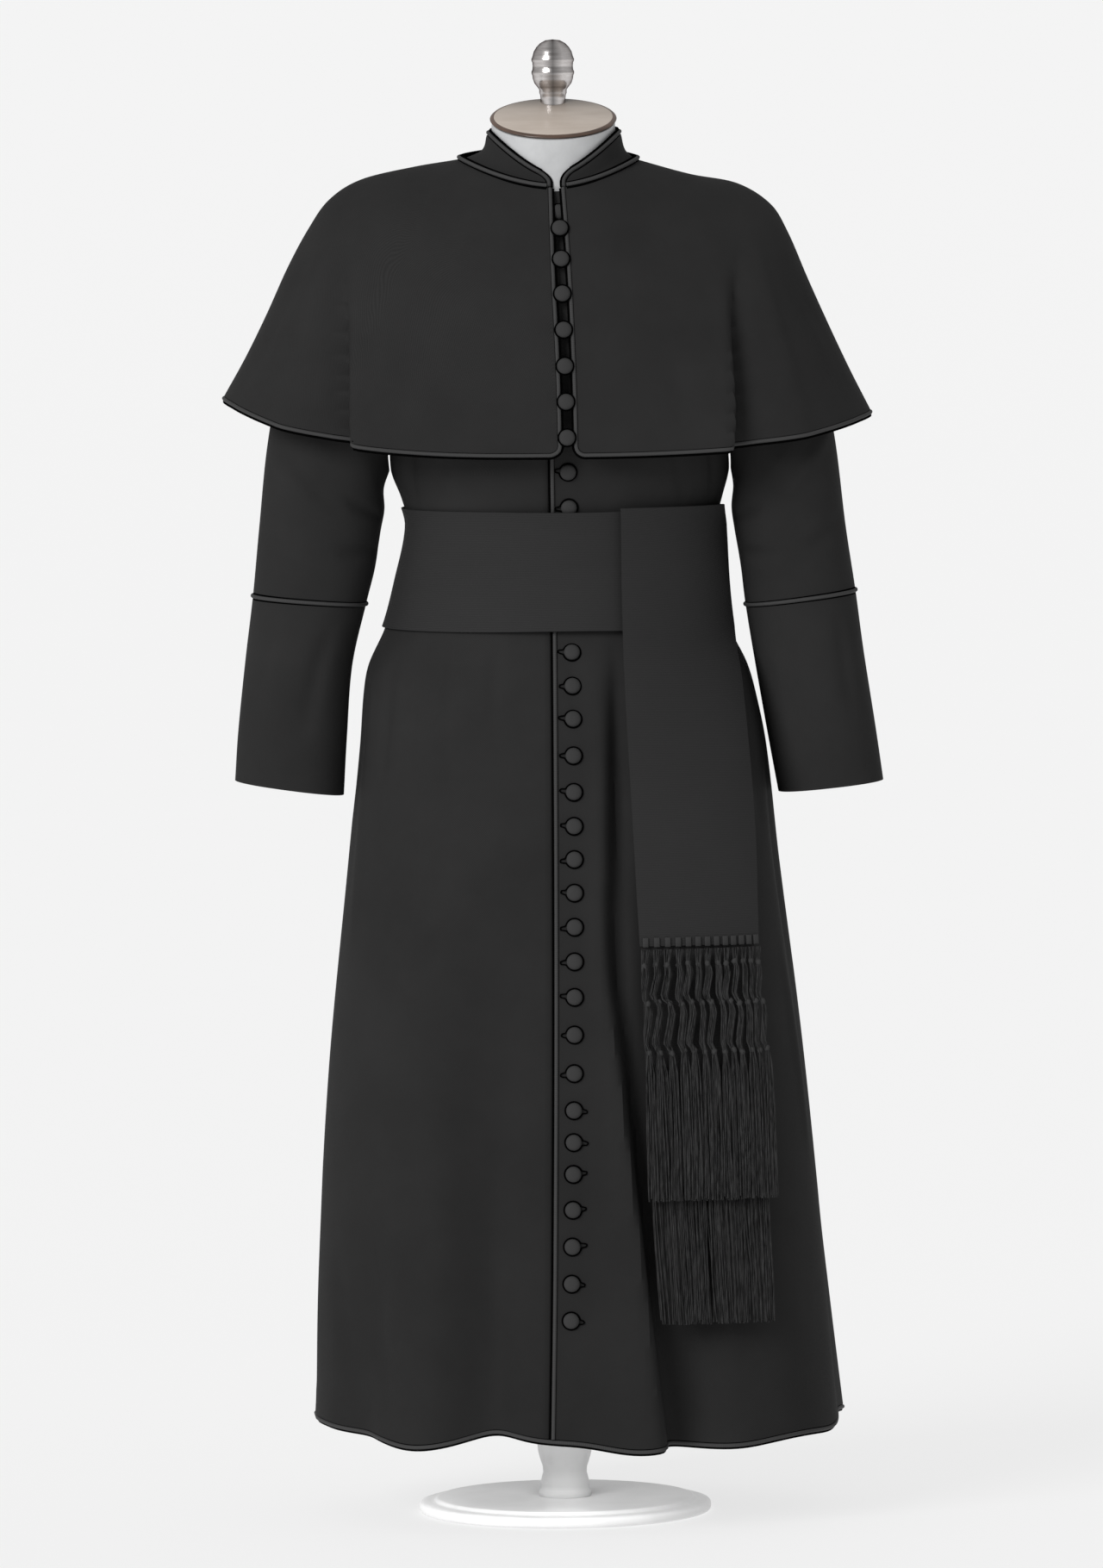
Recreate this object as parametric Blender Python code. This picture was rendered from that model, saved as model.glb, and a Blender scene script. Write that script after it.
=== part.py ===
"""A clerical cassock with its shoulder cape and fringed sash, worn by a limbless dress form on a turned stand.

Metres, +Z up. The origin is the middle of the stand's underside, on the floor. The front faces -Y and
+X is the wearer's left. Angles run round the body from the centre front (0) towards the wearer's left.
"""

import math
from collections import namedtuple

import bmesh
import bpy
from mathutils import Matrix, Vector

# Cloth and sewing
CLOTH = 0.0020  # wall of the wool cloth
SASH_CLOTH = 0.0018  # wall of the ribbed sash cloth
FRINGE_DEPTH = 0.0060  # plain solid that stands for a row of fringe
SEAM_GAP = 0.0003  # between two pieces sewn edge to edge
LAY_GAP = 0.0004  # between two pieces that lie on each other
END_GAP = 0.0025  # between the hanging sash ends, which bend less closely
BUTTON_GAP = 0.0011  # the buttons stand on their shanks
PIPING = 0.0021  # radius of the piping cord
PIPING_SIDES = 6
LAP = 0.032  # how far the right front runs on under the left front
LAP_STEP = CLOTH + 0.0011  # how far the underlap steps back to make room
LAP_BEND = (0.0090, 0.0055)  # where it starts and ends the step, before the left front's edge

# Heights
HEM = 0.103
ARMPIT = 1.155
SHOULDER_TIP = 1.446
ARMHOLE_SCOOP = (27, 24)  # how far the armhole curves in at the front and at the back, in degrees
SASH_LOW, SASH_HIGH = 0.984, 1.117
NECK_SEAM = 1.4965

# Fullness of the sections: 2 is an ellipse, more is squarer
BODY_POWER = 2.2
CAPE_POWER = 2.15

Section = namedtuple("Section", "height left right front back drop rise")
BODY = [  # outer face of the cassock; drop and rise lower the front and lift the back of a section
    Section(0.103, 0.2745, 0.3120, 0.236, 0.262, 0, 0),
    Section(0.270, 0.2710, 0.2955, 0.224, 0.250, 0, 0),
    Section(0.495, 0.2575, 0.2710, 0.206, 0.230, 0, 0),
    Section(0.723, 0.2340, 0.2430, 0.184, 0.205, 0, 0),
    Section(0.852, 0.2205, 0.2295, 0.166, 0.184, 0, 0),
    Section(0.913, 0.2155, 0.2175, 0.154, 0.169, 0, 0),
    Section(0.943, 0.2095, 0.2085, 0.146, 0.157, 0, 0),
    Section(0.984, 0.1905, 0.1890, 0.130, 0.136, 0, 0),
    Section(1.035, 0.1765, 0.1825, 0.119, 0.118, 0, 0),
    Section(1.095, 0.1640, 0.1755, 0.114, 0.107, 0, 0),
    Section(1.126, 0.1710, 0.1830, 0.118, 0.109, 0, 0),
    Section(1.155, 0.1820, 0.1905, 0.124, 0.113, 0, 0),
    Section(1.210, 0.1910, 0.1950, 0.131, 0.121, 0, 0),
    Section(1.300, 0.1920, 0.1945, 0.133, 0.128, 0, 0),
    Section(1.380, 0.1950, 0.1965, 0.121, 0.126, 0, 0),
    Section(1.425, 0.1960, 0.1970, 0.106, 0.116, 0.006, 0.000),
    Section(1.450, 0.1880, 0.1880, 0.098, 0.104, 0.012, 0.002),
    Section(1.470, 0.1600, 0.1560, 0.093, 0.091, 0.018, 0.004),
    Section(1.484, 0.1300, 0.1180, 0.090, 0.081, 0.024, 0.006),
    Section(NECK_SEAM, 0.1010, 0.0880, 0.0875, 0.0745, 0.030, 0.008),
]

Fold = namedtuple("Fold", "hem_angle top_angle top spread depth")
FOLDS = [  # soft folds of the skirt: angles and spread in degrees, depth at the hem, minus is a trough
    Fold(25.5, 15.5, 1.00, 7, -0.036),
    Fold(16.5, 9, 0.96, 6, 0.017),
    Fold(-17, -14, 0.66, 8, -0.020),
    Fold(-33, -29, 0.84, 12, 0.013),
    Fold(-55, -47, 0.52, 8, -0.012),
    Fold(52, 50, 0.80, 13, 0.010),
    Fold(88, 92, 0.60, 12, -0.009),
    Fold(112, 118, 0.90, 11, 0.016),
    Fold(138, 146, 1.00, 9, -0.026),
    Fold(163, 166, 1.00, 9, 0.018),
    Fold(181, 181, 1.04, 7, -0.034),
    Fold(-161, -165, 1.00, 9, 0.017),
    Fold(-137, -144, 0.96, 9, -0.023),
    Fold(-110, -114, 0.84, 12, 0.014),
]
Wave = namedtuple("Wave", "angle spread rise")
HEM_WAVES = [  # the hem rises and dips where folds draw it up or let it down; degrees
    Wave(-75, 16, 0.0045),
    Wave(-33, 11, -0.0075),
    Wave(-15, 8, 0.0095),
    Wave(12, 8, -0.0105),
    Wave(33, 13, -0.0105),
    Wave(70, 12, -0.0035),
    Wave(88, 12, 0.0040),
    Wave(112, 9, -0.0040),
    Wave(139, 9, 0.0070),
    Wave(163, 8, -0.0045),
    Wave(181, 7, 0.0085),
    Wave(-161, 8, -0.0045),
    Wave(-137, 9, 0.0060),
    Wave(-110, 10, -0.0040),
]
WAVE_TOP = 0.42  # the waves fade out at this height

Edge = namedtuple("Edge", "height x")
FRONT_EDGE = [  # piped edge of the left front, which laps over the right
    Edge(0.09, -0.0105),
    Edge(0.30, -0.0060),
    Edge(0.61, -0.0022),
    Edge(0.97, -0.0008),
    Edge(1.20, -0.0022),
    Edge(1.50, -0.0022),
]
CAPE_EDGE_RIGHT = [Edge(1.16, 0.0020), Edge(1.28, -0.0003), Edge(1.38, -0.0045), Edge(1.48, -0.0070)]
CAPE_EDGE_LEFT = [Edge(1.16, 0.0252), Edge(1.28, 0.0226), Edge(1.38, 0.0186), Edge(1.48, 0.0120)]

CapeRing = namedtuple("CapeRing", "left right left_z right_z front front_z back back_z")
CAPE = [  # rings from the neckline to the hem
    CapeRing(0.1045, 0.0930, 1.4995, 1.4975, 0.0915, 1.4700, 0.0785, 1.5080),
    CapeRing(0.1540, 0.1500, 1.4920, 1.4815, 0.1130, 1.4300, 0.1020, 1.4800),
    CapeRing(0.2125, 0.2020, 1.4785, 1.4710, 0.1290, 1.3850, 0.1240, 1.4400),
    CapeRing(0.2480, 0.2385, 1.4565, 1.4480, 0.1390, 1.3400, 0.1370, 1.3950),
    CapeRing(0.2715, 0.2580, 1.4240, 1.4160, 0.1460, 1.3000, 0.1440, 1.3500),
    CapeRing(0.2945, 0.2790, 1.3820, 1.3660, 0.1500, 1.2650, 0.1500, 1.3100),
    CapeRing(0.3180, 0.3015, 1.3310, 1.3150, 0.1530, 1.2350, 0.1550, 1.2700),
    CapeRing(0.3415, 0.3245, 1.2840, 1.2654, 0.1560, 1.2080, 0.1590, 1.2330),
    CapeRing(0.3655, 0.3470, 1.2415, 1.2205, 0.1590, 1.1830, 0.1620, 1.1980),
]
CAPE_RISE_NECK, CAPE_RISE_HEM = 1.6, 3.0  # how late a ring climbs from the front to the side
CAPE_CORNER = 0.011  # radius of the cape's front corners
CAPE_LENGTH = 0.31  # along the front edge
CAPE_FOLDS = [  # angle at the hem and at the shoulder, where it starts (share), spread, depth
    Fold(-43, -57, 0.30, 6.5, -0.020),
    Fold(-32, -40, 0.45, 6, 0.006),
    Fold(39, 54, 0.30, 6.5, -0.022),
    Fold(29, 38, 0.42, 6, 0.009),
    Fold(128, 120, 0.40, 9, -0.012),
    Fold(152, 150, 0.50, 9, 0.008),
    Fold(-130, -121, 0.40, 9, -0.013),
    Fold(-154, -151, 0.50, 9, 0.007),
]

# Collar: rings at the neck seam, a little above it, and at its top edge
CollarRing = namedtuple("CollarRing", "share left right front back")
COLLAR = [
    CollarRing(0.00, 0.1010, 0.0880, 0.0855, 0.0730),
    CollarRing(0.35, 0.0800, 0.0790, 0.0800, 0.0722),
    CollarRing(1.00, 0.0735, 0.0745, 0.0760, 0.0725),
]
COLLAR_SIDE_TOP = 1.5260
COLLAR_FRONT_TOP = 1.4790
COLLAR_BACK_TOP = 1.5340
COLLAR_CURVE = 1.5  # how its top edge climbs from the front to the side
COLLAR_LIFT = 0.0032  # room for the neck piping under it
COLLAR_CORNER, COLLAR_CORNER_DROP = 0.010, 0.62  # radius of its front corners, and the share of height they lose
COLLAR_NEAR = (0.05, 0.13)  # angles from its front edges that round the corners
COLLAR_GAP_RIGHT, COLLAR_GAP_LEFT = -0.0080, 0.0135  # x of its two front edges

SleeveRing = namedtuple("SleeveRing", "inner_x inner_z outer_x outer_z depth middle_y")
RIGHT_SLEEVE = [  # from the armhole down to the cuff's edge, x as a distance from the middle
    SleeveRing(0.1905, 1.137, 0.2680, 1.375, 0.072, 0.000),
    SleeveRing(0.1900, 1.114, 0.2990, 1.285, 0.068, -0.002),
    SleeveRing(0.1945, 1.090, 0.3180, 1.190, 0.065, -0.005),
    SleeveRing(0.2010, 1.050, 0.3285, 1.095, 0.061, -0.008),
    SleeveRing(0.2110, 1.011, 0.3360, 1.021, 0.058, -0.011),
    SleeveRing(0.2270, 0.943, 0.3450, 0.950, 0.057, -0.015),
    SleeveRing(0.2335, 0.865, 0.3535, 0.873, 0.056, -0.020),
    SleeveRing(0.2375, 0.801, 0.3575, 0.818, 0.055, -0.024),
]
LEFT_SLEEVE = [
    SleeveRing(0.1950, 1.137, 0.2620, 1.370, 0.072, 0.000),
    SleeveRing(0.1930, 1.114, 0.2900, 1.280, 0.068, -0.002),
    SleeveRing(0.1960, 1.090, 0.3075, 1.190, 0.065, -0.005),
    SleeveRing(0.2025, 1.050, 0.3185, 1.095, 0.061, -0.008),
    SleeveRing(0.2075, 1.007, 0.3290, 1.022, 0.058, -0.011),
    SleeveRing(0.2175, 0.943, 0.3375, 0.955, 0.057, -0.015),
    SleeveRing(0.2315, 0.860, 0.3500, 0.871, 0.056, -0.020),
    SleeveRing(0.2420, 0.801, 0.3580, 0.813, 0.055, -0.024),
]
CUFF_RING = 5  # the ring where the cuff is sewn on
SLEEVE_POWER = 2.3
SLEEVE_ROOM = 0.0018  # the sleeve meets the armhole at an angle, so its edge keeps this clear of it
SLEEVE_SIDES = 16

SashEdge = namedtuple("SashEdge", "height left right")
DRAPE = [  # left edge of the stretch of skirt that the hanging ends lie over
    Edge(1.1215, 0.0665),
    Edge(0.9200, 0.0700),
    Edge(0.7700, 0.0775),
    Edge(0.6440, 0.0840),
    Edge(0.3660, 0.0905),
    Edge(0.2310, 0.1000),
]
END_OVER = [
    SashEdge(1.1215, 0.0665, 0.1740),
    SashEdge(1.0080, 0.0672, 0.1805),
    SashEdge(0.9200, 0.0700, 0.1935),
    SashEdge(0.7700, 0.0775, 0.2065),
    SashEdge(0.6440, 0.0840, 0.2105),
]
END_UNDER = [
    SashEdge(1.1190, 0.0730, 0.1720),
    SashEdge(1.0080, 0.0740, 0.1780),
    SashEdge(0.9200, 0.0760, 0.1895),
    SashEdge(0.7700, 0.0830, 0.2015),
    SashEdge(0.4985, 0.0900, 0.2120),
]
FRINGE_OVER = [SashEdge(0.6400, 0.0835, 0.2105), SashEdge(0.5200, 0.0875, 0.2215), SashEdge(0.3660, 0.0905, 0.2270)]
FRINGE_UNDER = [SashEdge(0.4955, 0.0900, 0.2120), SashEdge(0.3700, 0.0950, 0.2210), SashEdge(0.2310, 0.1040, 0.2265)]
END_ROWS = [SASH_HIGH, 1.095, 1.065, 1.035, 1.010, 0.984, 0.950, 0.900, 0.820, 0.730]
SASH_ROOM, SASH_BUTTON_ROOM = 0.0020, 0.0055  # between the sash and the cassock, and what the buttons add
BUTTON_SWELL = (5, 22)  # angle where the sash passes over the buttons, and its spread, in degrees
END_FLATTEN = 0.55  # how far the hanging ends flatten, from the skirt's round (0) to a plane (1)
HANG_TOP, HANG_LOW = 0.98, 0.70  # heights between which they flatten

# Buttons
BUTTON_COUNT = 33
BUTTON_RADIUS = 0.0086
BUTTON_THICK = 0.0052
BUTTON_HIGH, BUTTON_LOW = 1.4575, 0.2380
BUTTON_X, BUTTON_X_BEND = 0.0160, 0.0110  # the row of buttons bends a little about its middle
BUTTON_MIDDLE, BUTTON_REACH = 0.80, 0.66
BUTTON_SIDES = 10
CAPE_BUTTONS = (2, 8)  # these lie in front of the cape's two edges
CAPE_BUTTON_GAP = 0.0017
Spacing = namedtuple("Spacing", "number raised")
BUTTON_SPACING = [  # how far the buttons sit above an even row
    Spacing(1, 0),
    Spacing(3, 0.0120),
    Spacing(6, 0.0105),
    Spacing(10, 0.0065),
    Spacing(14, 0.0008),
    Spacing(16, 0.0055),
    Spacing(18, 0.0025),
    Spacing(21, 0.0075),
    Spacing(24, 0.0085),
    Spacing(27, -0.0005),
    Spacing(29, 0.0065),
    Spacing(33, 0),
]

# Dress form and stand
FORM_INSET = 0.0075  # room between the form and the cassock's outer face
FormRing = namedtuple("FormRing", "height left right front back")
FORM_HIPS = [
    FormRing(0.800, 0.120, 0.124, 0.080, 0.092),
    FormRing(0.803, 0.150, 0.154, 0.102, 0.116),
    FormRing(0.818, 0.172, 0.176, 0.120, 0.134),
    FormRing(0.860, 0.183, 0.187, 0.129, 0.144),
    FormRing(0.920, 0.183, 0.186, 0.129, 0.139),
]
FORM_HEIGHTS = [0.984, 1.035, 1.095, 1.155, 1.220, 1.300, 1.380, 1.425, 1.450, 1.464]
NECK_RADIUS = 0.0680
NECK_RINGS = [(1.4740, 0.0070), (1.4840, 0.0012), (1.4960, 0.0)]  # height, extra radius at its root
CAP_RADIUS, CAP_THICK = 0.0695, 0.0036
CAP_CENTRE_Z = 1.5455
CAP_TILT = math.radians(16)
FORM_SIDES = 24
FINIAL_BACK = 0.0520
FINIAL_PROFILE = [  # radius, height above the cap
    (0.0140, -0.020),
    (0.0138, 0.006),
    (0.0150, 0.011),
    (0.0150, 0.014),
    (0.0205, 0.021),
    (0.0228, 0.029),
    (0.0236, 0.033),
    (0.0224, 0.037),
    (0.0224, 0.043),
    (0.0236, 0.047),
    (0.0222, 0.053),
    (0.0180, 0.061),
    (0.0100, 0.0675),
]
FINIAL_TOP = 0.0695
POLE_PROFILE = [  # radius, height
    (0.0285, 0.0166),
    (0.0290, 0.0215),
    (0.0268, 0.0260),
    (0.0270, 0.0320),
    (0.0242, 0.0430),
    (0.0262, 0.0540),
    (0.0300, 0.0680),
    (0.0305, 0.0900),
    (0.0260, 0.1150),
    (0.0190, 0.1350),
    (0.0180, 0.1600),
    (0.0180, 0.7995),
]
BASE_PROFILE = [  # radius, height
    (0.1585, 0.0000),
    (0.1615, 0.0022),
    (0.1620, 0.0070),
    (0.1605, 0.0105),
    (0.1560, 0.0122),
    (0.1460, 0.0124),
    (0.1440, 0.0140),
    (0.1425, 0.0158),
    (0.1400, 0.0163),
]
LATHE_SIDES = 18

# Rows of the cassock's walls: lowest just above the hem's cord, closest at the waist, armhole and neck
BODY_ROWS = [HEM + 2 * PIPING + 0.0011, 0.22, 0.36, 0.50, 0.64, 0.77, 0.86, 0.913, 0.943, 0.984, 1.010, 1.035]
BODY_ROWS += [1.065, 1.095, 1.126, ARMPIT, 1.175, 1.22, 1.29, 1.36, 1.41, SHOULDER_TIP, 1.470, 1.484, NECK_SEAM]
EDGE_TOP = 1.46  # the cord on the left front's edge ends below the collar


# Curves and sections


def between(rows, height):
    """The table's row at any height, on a smooth curve through its rows."""
    rows = sorted(rows)
    last = len(rows) - 1
    height = min(max(height, rows[0][0]), rows[last][0])
    i = max(k for k in range(last) if rows[k][0] <= height)
    low, high = rows[i], rows[i + 1]
    before, after = rows[max(i - 1, 0)], rows[min(i + 2, last)]
    span = high[0] - low[0]
    t = (height - low[0]) / span
    values = []
    for a, b, c, d in zip(before, low, high, after):
        slope_low = (c - a) / (high[0] - before[0]) * span
        slope_high = (d - b) / (after[0] - low[0]) * span
        rise = (2 * t**3 - 3 * t**2 + 1) * b + (3 * t**2 - 2 * t**3) * c
        values.append(rise + (t**3 - 2 * t**2 + t) * slope_low + (t**3 - t**2) * slope_high)
    return type(low)(*values)


def along(points, t):
    """A point at t (0, 1, 2...) on the smooth curve through a list of vectors."""
    i = min(int(t), len(points) - 2)
    t -= i
    b, c = points[i], points[i + 1]
    a = points[i - 1] if i else b + (b - c)
    d = points[i + 2] if i + 2 < len(points) else c + (c - b)
    return (b * 2 + (c - a) * t + (a * 2 - b * 5 + c * 4 - d) * t**2 + (b * 3 - a - c * 3 + d) * t**3) / 2


def around(angle, left, right, front, back, power):
    """x and y at an angle round a section with four different half widths."""
    s, c = math.sin(angle), math.cos(angle)
    x = math.copysign(abs(s) ** (2 / power), s) * (right if s > 0 else left)
    y = -math.copysign(abs(c) ** (2 / power), c) * (front if c > 0 else back)
    return x, y


def angle_at(x, left, right, power):
    """The angle on the front of a section where it reaches x."""
    half = right if x > 0 else left
    return math.copysign(math.asin(min(abs(x) / half, 1) ** (power / 2)), x)


def bump(angle, centre, spread):
    """1 at the centre angle, falling softly to 0 (degrees)."""
    away = (angle - centre + 180) % 360 - 180
    return math.exp(-((away / spread) ** 2))


def fold_at(folds, angle, down):
    """Depth of all folds at an angle; down(fold) is how far below the fold's start this is, from 0 to 1."""
    depth = 0
    for fold in folds:
        share = down(fold)
        if share > 0:
            centre = fold.top_angle + (fold.hem_angle - fold.top_angle) * share
            depth += fold.depth * share**1.3 * bump(math.degrees(angle), centre, fold.spread)
    return depth


def moved_out(surface, u, v, distance):
    """A point of surface(u, v), moved along the surface's outward normal."""
    step = 1e-3
    across = surface(u + step, v) - surface(u - step, v)
    up = surface(u, v + step) - surface(u, v - step)
    return surface(u, v) + across.cross(up).normalized() * distance


# Surfaces of the cloth; u runs round the body and v upwards, so that their normals point out


def plain_body(angle, height):
    """The cassock's outer face without its folds."""
    row = between(BODY, height)
    x, y = around(angle, row.left, row.right, row.front, row.back, BODY_POWER)
    c = math.cos(angle)
    return Vector((x, y, height + c * c * (row.rise if c < 0 else -row.drop)))


def body(angle, height):
    """The cassock's outer face."""
    point = plain_body(angle, height)
    depth = fold_at(FOLDS, angle, lambda fold: (fold.top - height) / (fold.top - HEM))
    away = Vector((point.x, point.y, 0)).normalized()
    rise = sum(wave.rise * bump(math.degrees(angle), wave.angle, wave.spread) for wave in HEM_WAVES)
    low = max(0, (WAVE_TOP - height) / (WAVE_TOP - HEM))
    return point + away * depth + Vector((0, 0, rise * low))


def lap_angle(height, away):
    """Angle at a distance from the left front's edge, where minus is on the wearer's right of it."""
    row = between(BODY, height)
    return angle_at(between(FRONT_EDGE, height).x + away, row.left, row.right, BODY_POWER)


def right_front(angle, height):
    """The right front: it steps back before it passes under the left front's edge."""
    start, end = lap_angle(height, -LAP_BEND[0]), lap_angle(height, -LAP_BEND[1])
    share = min(max((angle - start) / (end - start), 0), 1)
    return moved_out(body, angle, height, -LAP_STEP * share)


def angle_step(surface, angle, height, distance):
    """The change of angle that moves a point this far along the surface."""
    step = 1e-3
    return distance * step / (surface(angle + step, height) - surface(angle, height)).length


def armhole_angle(height, towards):
    """Angle of the left armhole's edge from the front (0), on its front (-1) or back (1) side."""
    share = (height - ARMPIT) / (SHOULDER_TIP - ARMPIT)
    if not 0 < share < 1:
        return math.radians(90)
    width = ARMHOLE_SCOOP[0] if towards < 0 else ARMHOLE_SCOOP[1]
    return math.radians(90 + towards * width * math.sin(math.pi * share) ** 0.6)


def side_seam(height, towards):
    """Angle of the left side seam, armhole edge or shoulder seam at a height."""
    if height < ARMPIT:
        return math.radians(90 - 10 * min((ARMPIT - height) / 0.2, 1))
    return armhole_angle(height, towards)


def sleeve_surface(side):
    """The outer face of a sleeve: u runs round it from the armpit over the front, v down from the armhole."""
    rings = LEFT_SLEEVE if side > 0 else RIGHT_SLEEVE

    def ring_point(turn, index):
        s, c = math.sin(turn), math.cos(turn)
        if index == 0:
            height = ARMPIT + SLEEVE_ROOM + (SHOULDER_TIP - ARMPIT - 2 * SLEEVE_ROOM) * (1 - c) / 2
            angle = armhole_angle(height, -1 if s > 0 else 1) * side
            return body(angle, height) + Vector((side * SLEEVE_ROOM, 0, 0))
        ring = rings[index - 1]
        inner = Vector((side * ring.inner_x, ring.middle_y, ring.inner_z))
        outer = Vector((side * ring.outer_x, ring.middle_y, ring.outer_z))
        wide = math.copysign(abs(c) ** (2 / SLEEVE_POWER), c) / 2
        deep = math.copysign(abs(s) ** (2 / SLEEVE_POWER), s) * ring.depth
        return (inner + outer) / 2 + (inner - outer) * wide + Vector((0, -deep, 0))

    def surface(u, v):
        turn = -u * side
        first = max(int(v) - 1, 0)
        last = min(first + 4, len(rings) + 1)
        points = [ring_point(turn, k) for k in range(first, last)]
        return along(points, v - first)

    return surface


def cape(angle, v):
    """The cape's outer face: v is 1 at the neckline and 0 at the hem."""
    t = (1 - v) * (len(CAPE) - 1)
    ring = CapeRing(*along([Vector(row) for row in CAPE], min(max(t, 0), len(CAPE) - 1)))
    x, y = around(angle, ring.left, ring.right, ring.front, ring.back, CAPE_POWER)
    s, c = math.sin(angle), math.cos(angle)
    low = ring.front_z if c > 0 else ring.back_z
    high = ring.right_z if s > 0 else ring.left_z
    power = CAPE_RISE_NECK + (CAPE_RISE_HEM - CAPE_RISE_NECK) * (1 - v)
    point = Vector((x, y, low + (high - low) * abs(s) ** power))
    depth = fold_at(CAPE_FOLDS, angle, lambda fold: (1 - v - fold.top) / (1 - fold.top))
    return point + Vector((x, y, 0)).normalized() * depth


def cape_edge(v, side):
    """Angle of the cape's front edge."""
    ring = CapeRing(*along([Vector(row) for row in CAPE], (1 - v) * (len(CAPE) - 1)))
    table = CAPE_EDGE_LEFT if side > 0 else CAPE_EDGE_RIGHT
    return angle_at(between(table, ring.front_z).x, ring.left, ring.right, CAPE_POWER)


def cape_corner(distance):
    """Share of the cape's length that its rounded front corner takes off, this far from the front edge."""
    away = min(max(1 - distance / CAPE_CORNER, 0), 1)
    return CAPE_CORNER * (1 - math.sqrt(1 - away * away)) / CAPE_LENGTH


def sash_stand_off(angle):
    """Room under the sash: it passes over the buttons at the front."""
    return SASH_ROOM + SASH_BUTTON_ROOM * bump(math.degrees(angle), *BUTTON_SWELL)


def sash(angle, height):
    """The outer face of the sash band."""
    return moved_out(plain_body, angle, height, sash_stand_off(angle) + SASH_CLOTH)


def drape(angle, height):
    """The face that the hanging sash ends lie on: round at the waist, flatter down the skirt."""
    point = sash(angle, height)
    edge = between(DRAPE, height)
    row = between(BODY, height)
    left = sash(angle_at(edge.x, row.left, row.right, BODY_POWER), height)
    free = END_FLATTEN * min(max((HANG_TOP - height) / (HANG_TOP - HANG_LOW), 0), 1)
    return Vector((point.x, left.y + (point.y - left.y) * (1 - free), height))


def hanging(table, layer):
    """The outer face of a hanging sash end or fringe: u runs across it from 0 to 1, v is the height."""

    def surface(u, v):
        edge, row = between(table, v), between(BODY, v)
        left = angle_at(edge.left, row.left, row.right, BODY_POWER)
        right = angle_at(edge.right, row.left, row.right, BODY_POWER)
        return moved_out(drape, left + (right - left) * u, v, layer)

    return surface


def collar(angle, share):
    """The collar's outer face: share is 0 at the neck seam and 1 at its top edge."""
    ring = between(COLLAR, share)
    x, y = around(angle, ring.left, ring.right, ring.front, ring.back, 2.0)
    s, c = math.sin(angle), math.cos(angle)
    neck = BODY[-1]
    seam = NECK_SEAM + COLLAR_LIFT + c * c * (neck.rise if c < 0 else -neck.drop)
    end = COLLAR_BACK_TOP if c < 0 else COLLAR_FRONT_TOP
    top = end + (COLLAR_SIDE_TOP - end) * abs(s) ** COLLAR_CURVE
    return Vector((x, y, seam + (top - seam) * share))


def collar_edge(share, side):
    ring = between(COLLAR, share)
    x = COLLAR_GAP_LEFT if side > 0 else COLLAR_GAP_RIGHT
    return angle_at(x, ring.left, ring.right, 2.0)


def collar_corner(angle, side):
    """Share of the collar's height left by its rounded front corner."""
    distance = abs(angle - collar_edge(1, side)) * COLLAR[-1].front
    away = min(max(1 - distance / COLLAR_CORNER, 0), 1)
    return 1 - COLLAR_CORNER_DROP * (1 - math.sqrt(1 - away * away))


# Solids


def new_object(name, mesh_data, material):
    """Links the mesh as an object; round faces are smooth and folds of the outline stay sharp."""
    mesh = bpy.data.meshes.new(name)
    bmesh.ops.recalc_face_normals(mesh_data, faces=mesh_data.faces)
    mesh_data.to_mesh(mesh)
    mesh_data.free()
    mesh.shade_smooth()
    mesh.set_sharp_from_angle(angle=math.radians(38))
    mesh.materials.append(material)
    result = bpy.data.objects.new(name, mesh)
    bpy.context.scene.collection.objects.link(result)
    return result


def wall(name, grid, surface, thickness, material, closed=False):
    """A cloth wall: grid is rows of (u, v) on the surface's outer face. Closed rows run all the way round."""
    bm = bmesh.new()
    outer = [[bm.verts.new(surface(u, v)) for u, v in row] for row in grid]
    inner = [[bm.verts.new(moved_out(surface, u, v, -thickness)) for u, v in row] for row in grid]
    columns = len(grid[0])
    for low in range(len(grid) - 1):
        for k in range(columns if closed else columns - 1):
            m = (k + 1) % columns
            bm.faces.new((outer[low][k], outer[low][m], outer[low + 1][m], outer[low + 1][k]))
            bm.faces.new((inner[low][m], inner[low][k], inner[low + 1][k], inner[low + 1][m]))
    for row in (0, -1):
        for k in range(columns if closed else columns - 1):
            m = (k + 1) % columns
            bm.faces.new((outer[row][k], outer[row][m], inner[row][m], inner[row][k]))
    if not closed:
        for k in (0, -1):
            for low in range(len(grid) - 1):
                bm.faces.new((outer[low][k], outer[low + 1][k], inner[low + 1][k], inner[low][k]))
    return new_object(name, bm, material)


def tube(name, centres, normals, radius, material, closed=False):
    """A round cord along centres; the normals keep its facets from twisting."""
    bm = bmesh.new()
    count = len(centres)
    rings = []
    for k, (centre, normal) in enumerate(zip(centres, normals)):
        before = centres[(k - 1) % count if closed else max(k - 1, 0)]
        after = centres[(k + 1) % count if closed else min(k + 1, count - 1)]
        across = (after - before).cross(normal).normalized()
        upright = across.cross(after - before).normalized()
        turns = [math.tau * (j + 0.5) / PIPING_SIDES for j in range(PIPING_SIDES)]
        rings.append([bm.verts.new(centre + (upright * math.cos(a) + across * math.sin(a)) * radius) for a in turns])
    for k in range(count if closed else count - 1):
        for j in range(PIPING_SIDES):
            i = (j + 1) % PIPING_SIDES
            bm.faces.new((rings[k][j], rings[k][i], rings[(k + 1) % count][i], rings[(k + 1) % count][j]))
    if not closed:
        bm.faces.new(rings[0])
        bm.faces.new(rings[-1])
    return new_object(name, bm, material)


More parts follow.
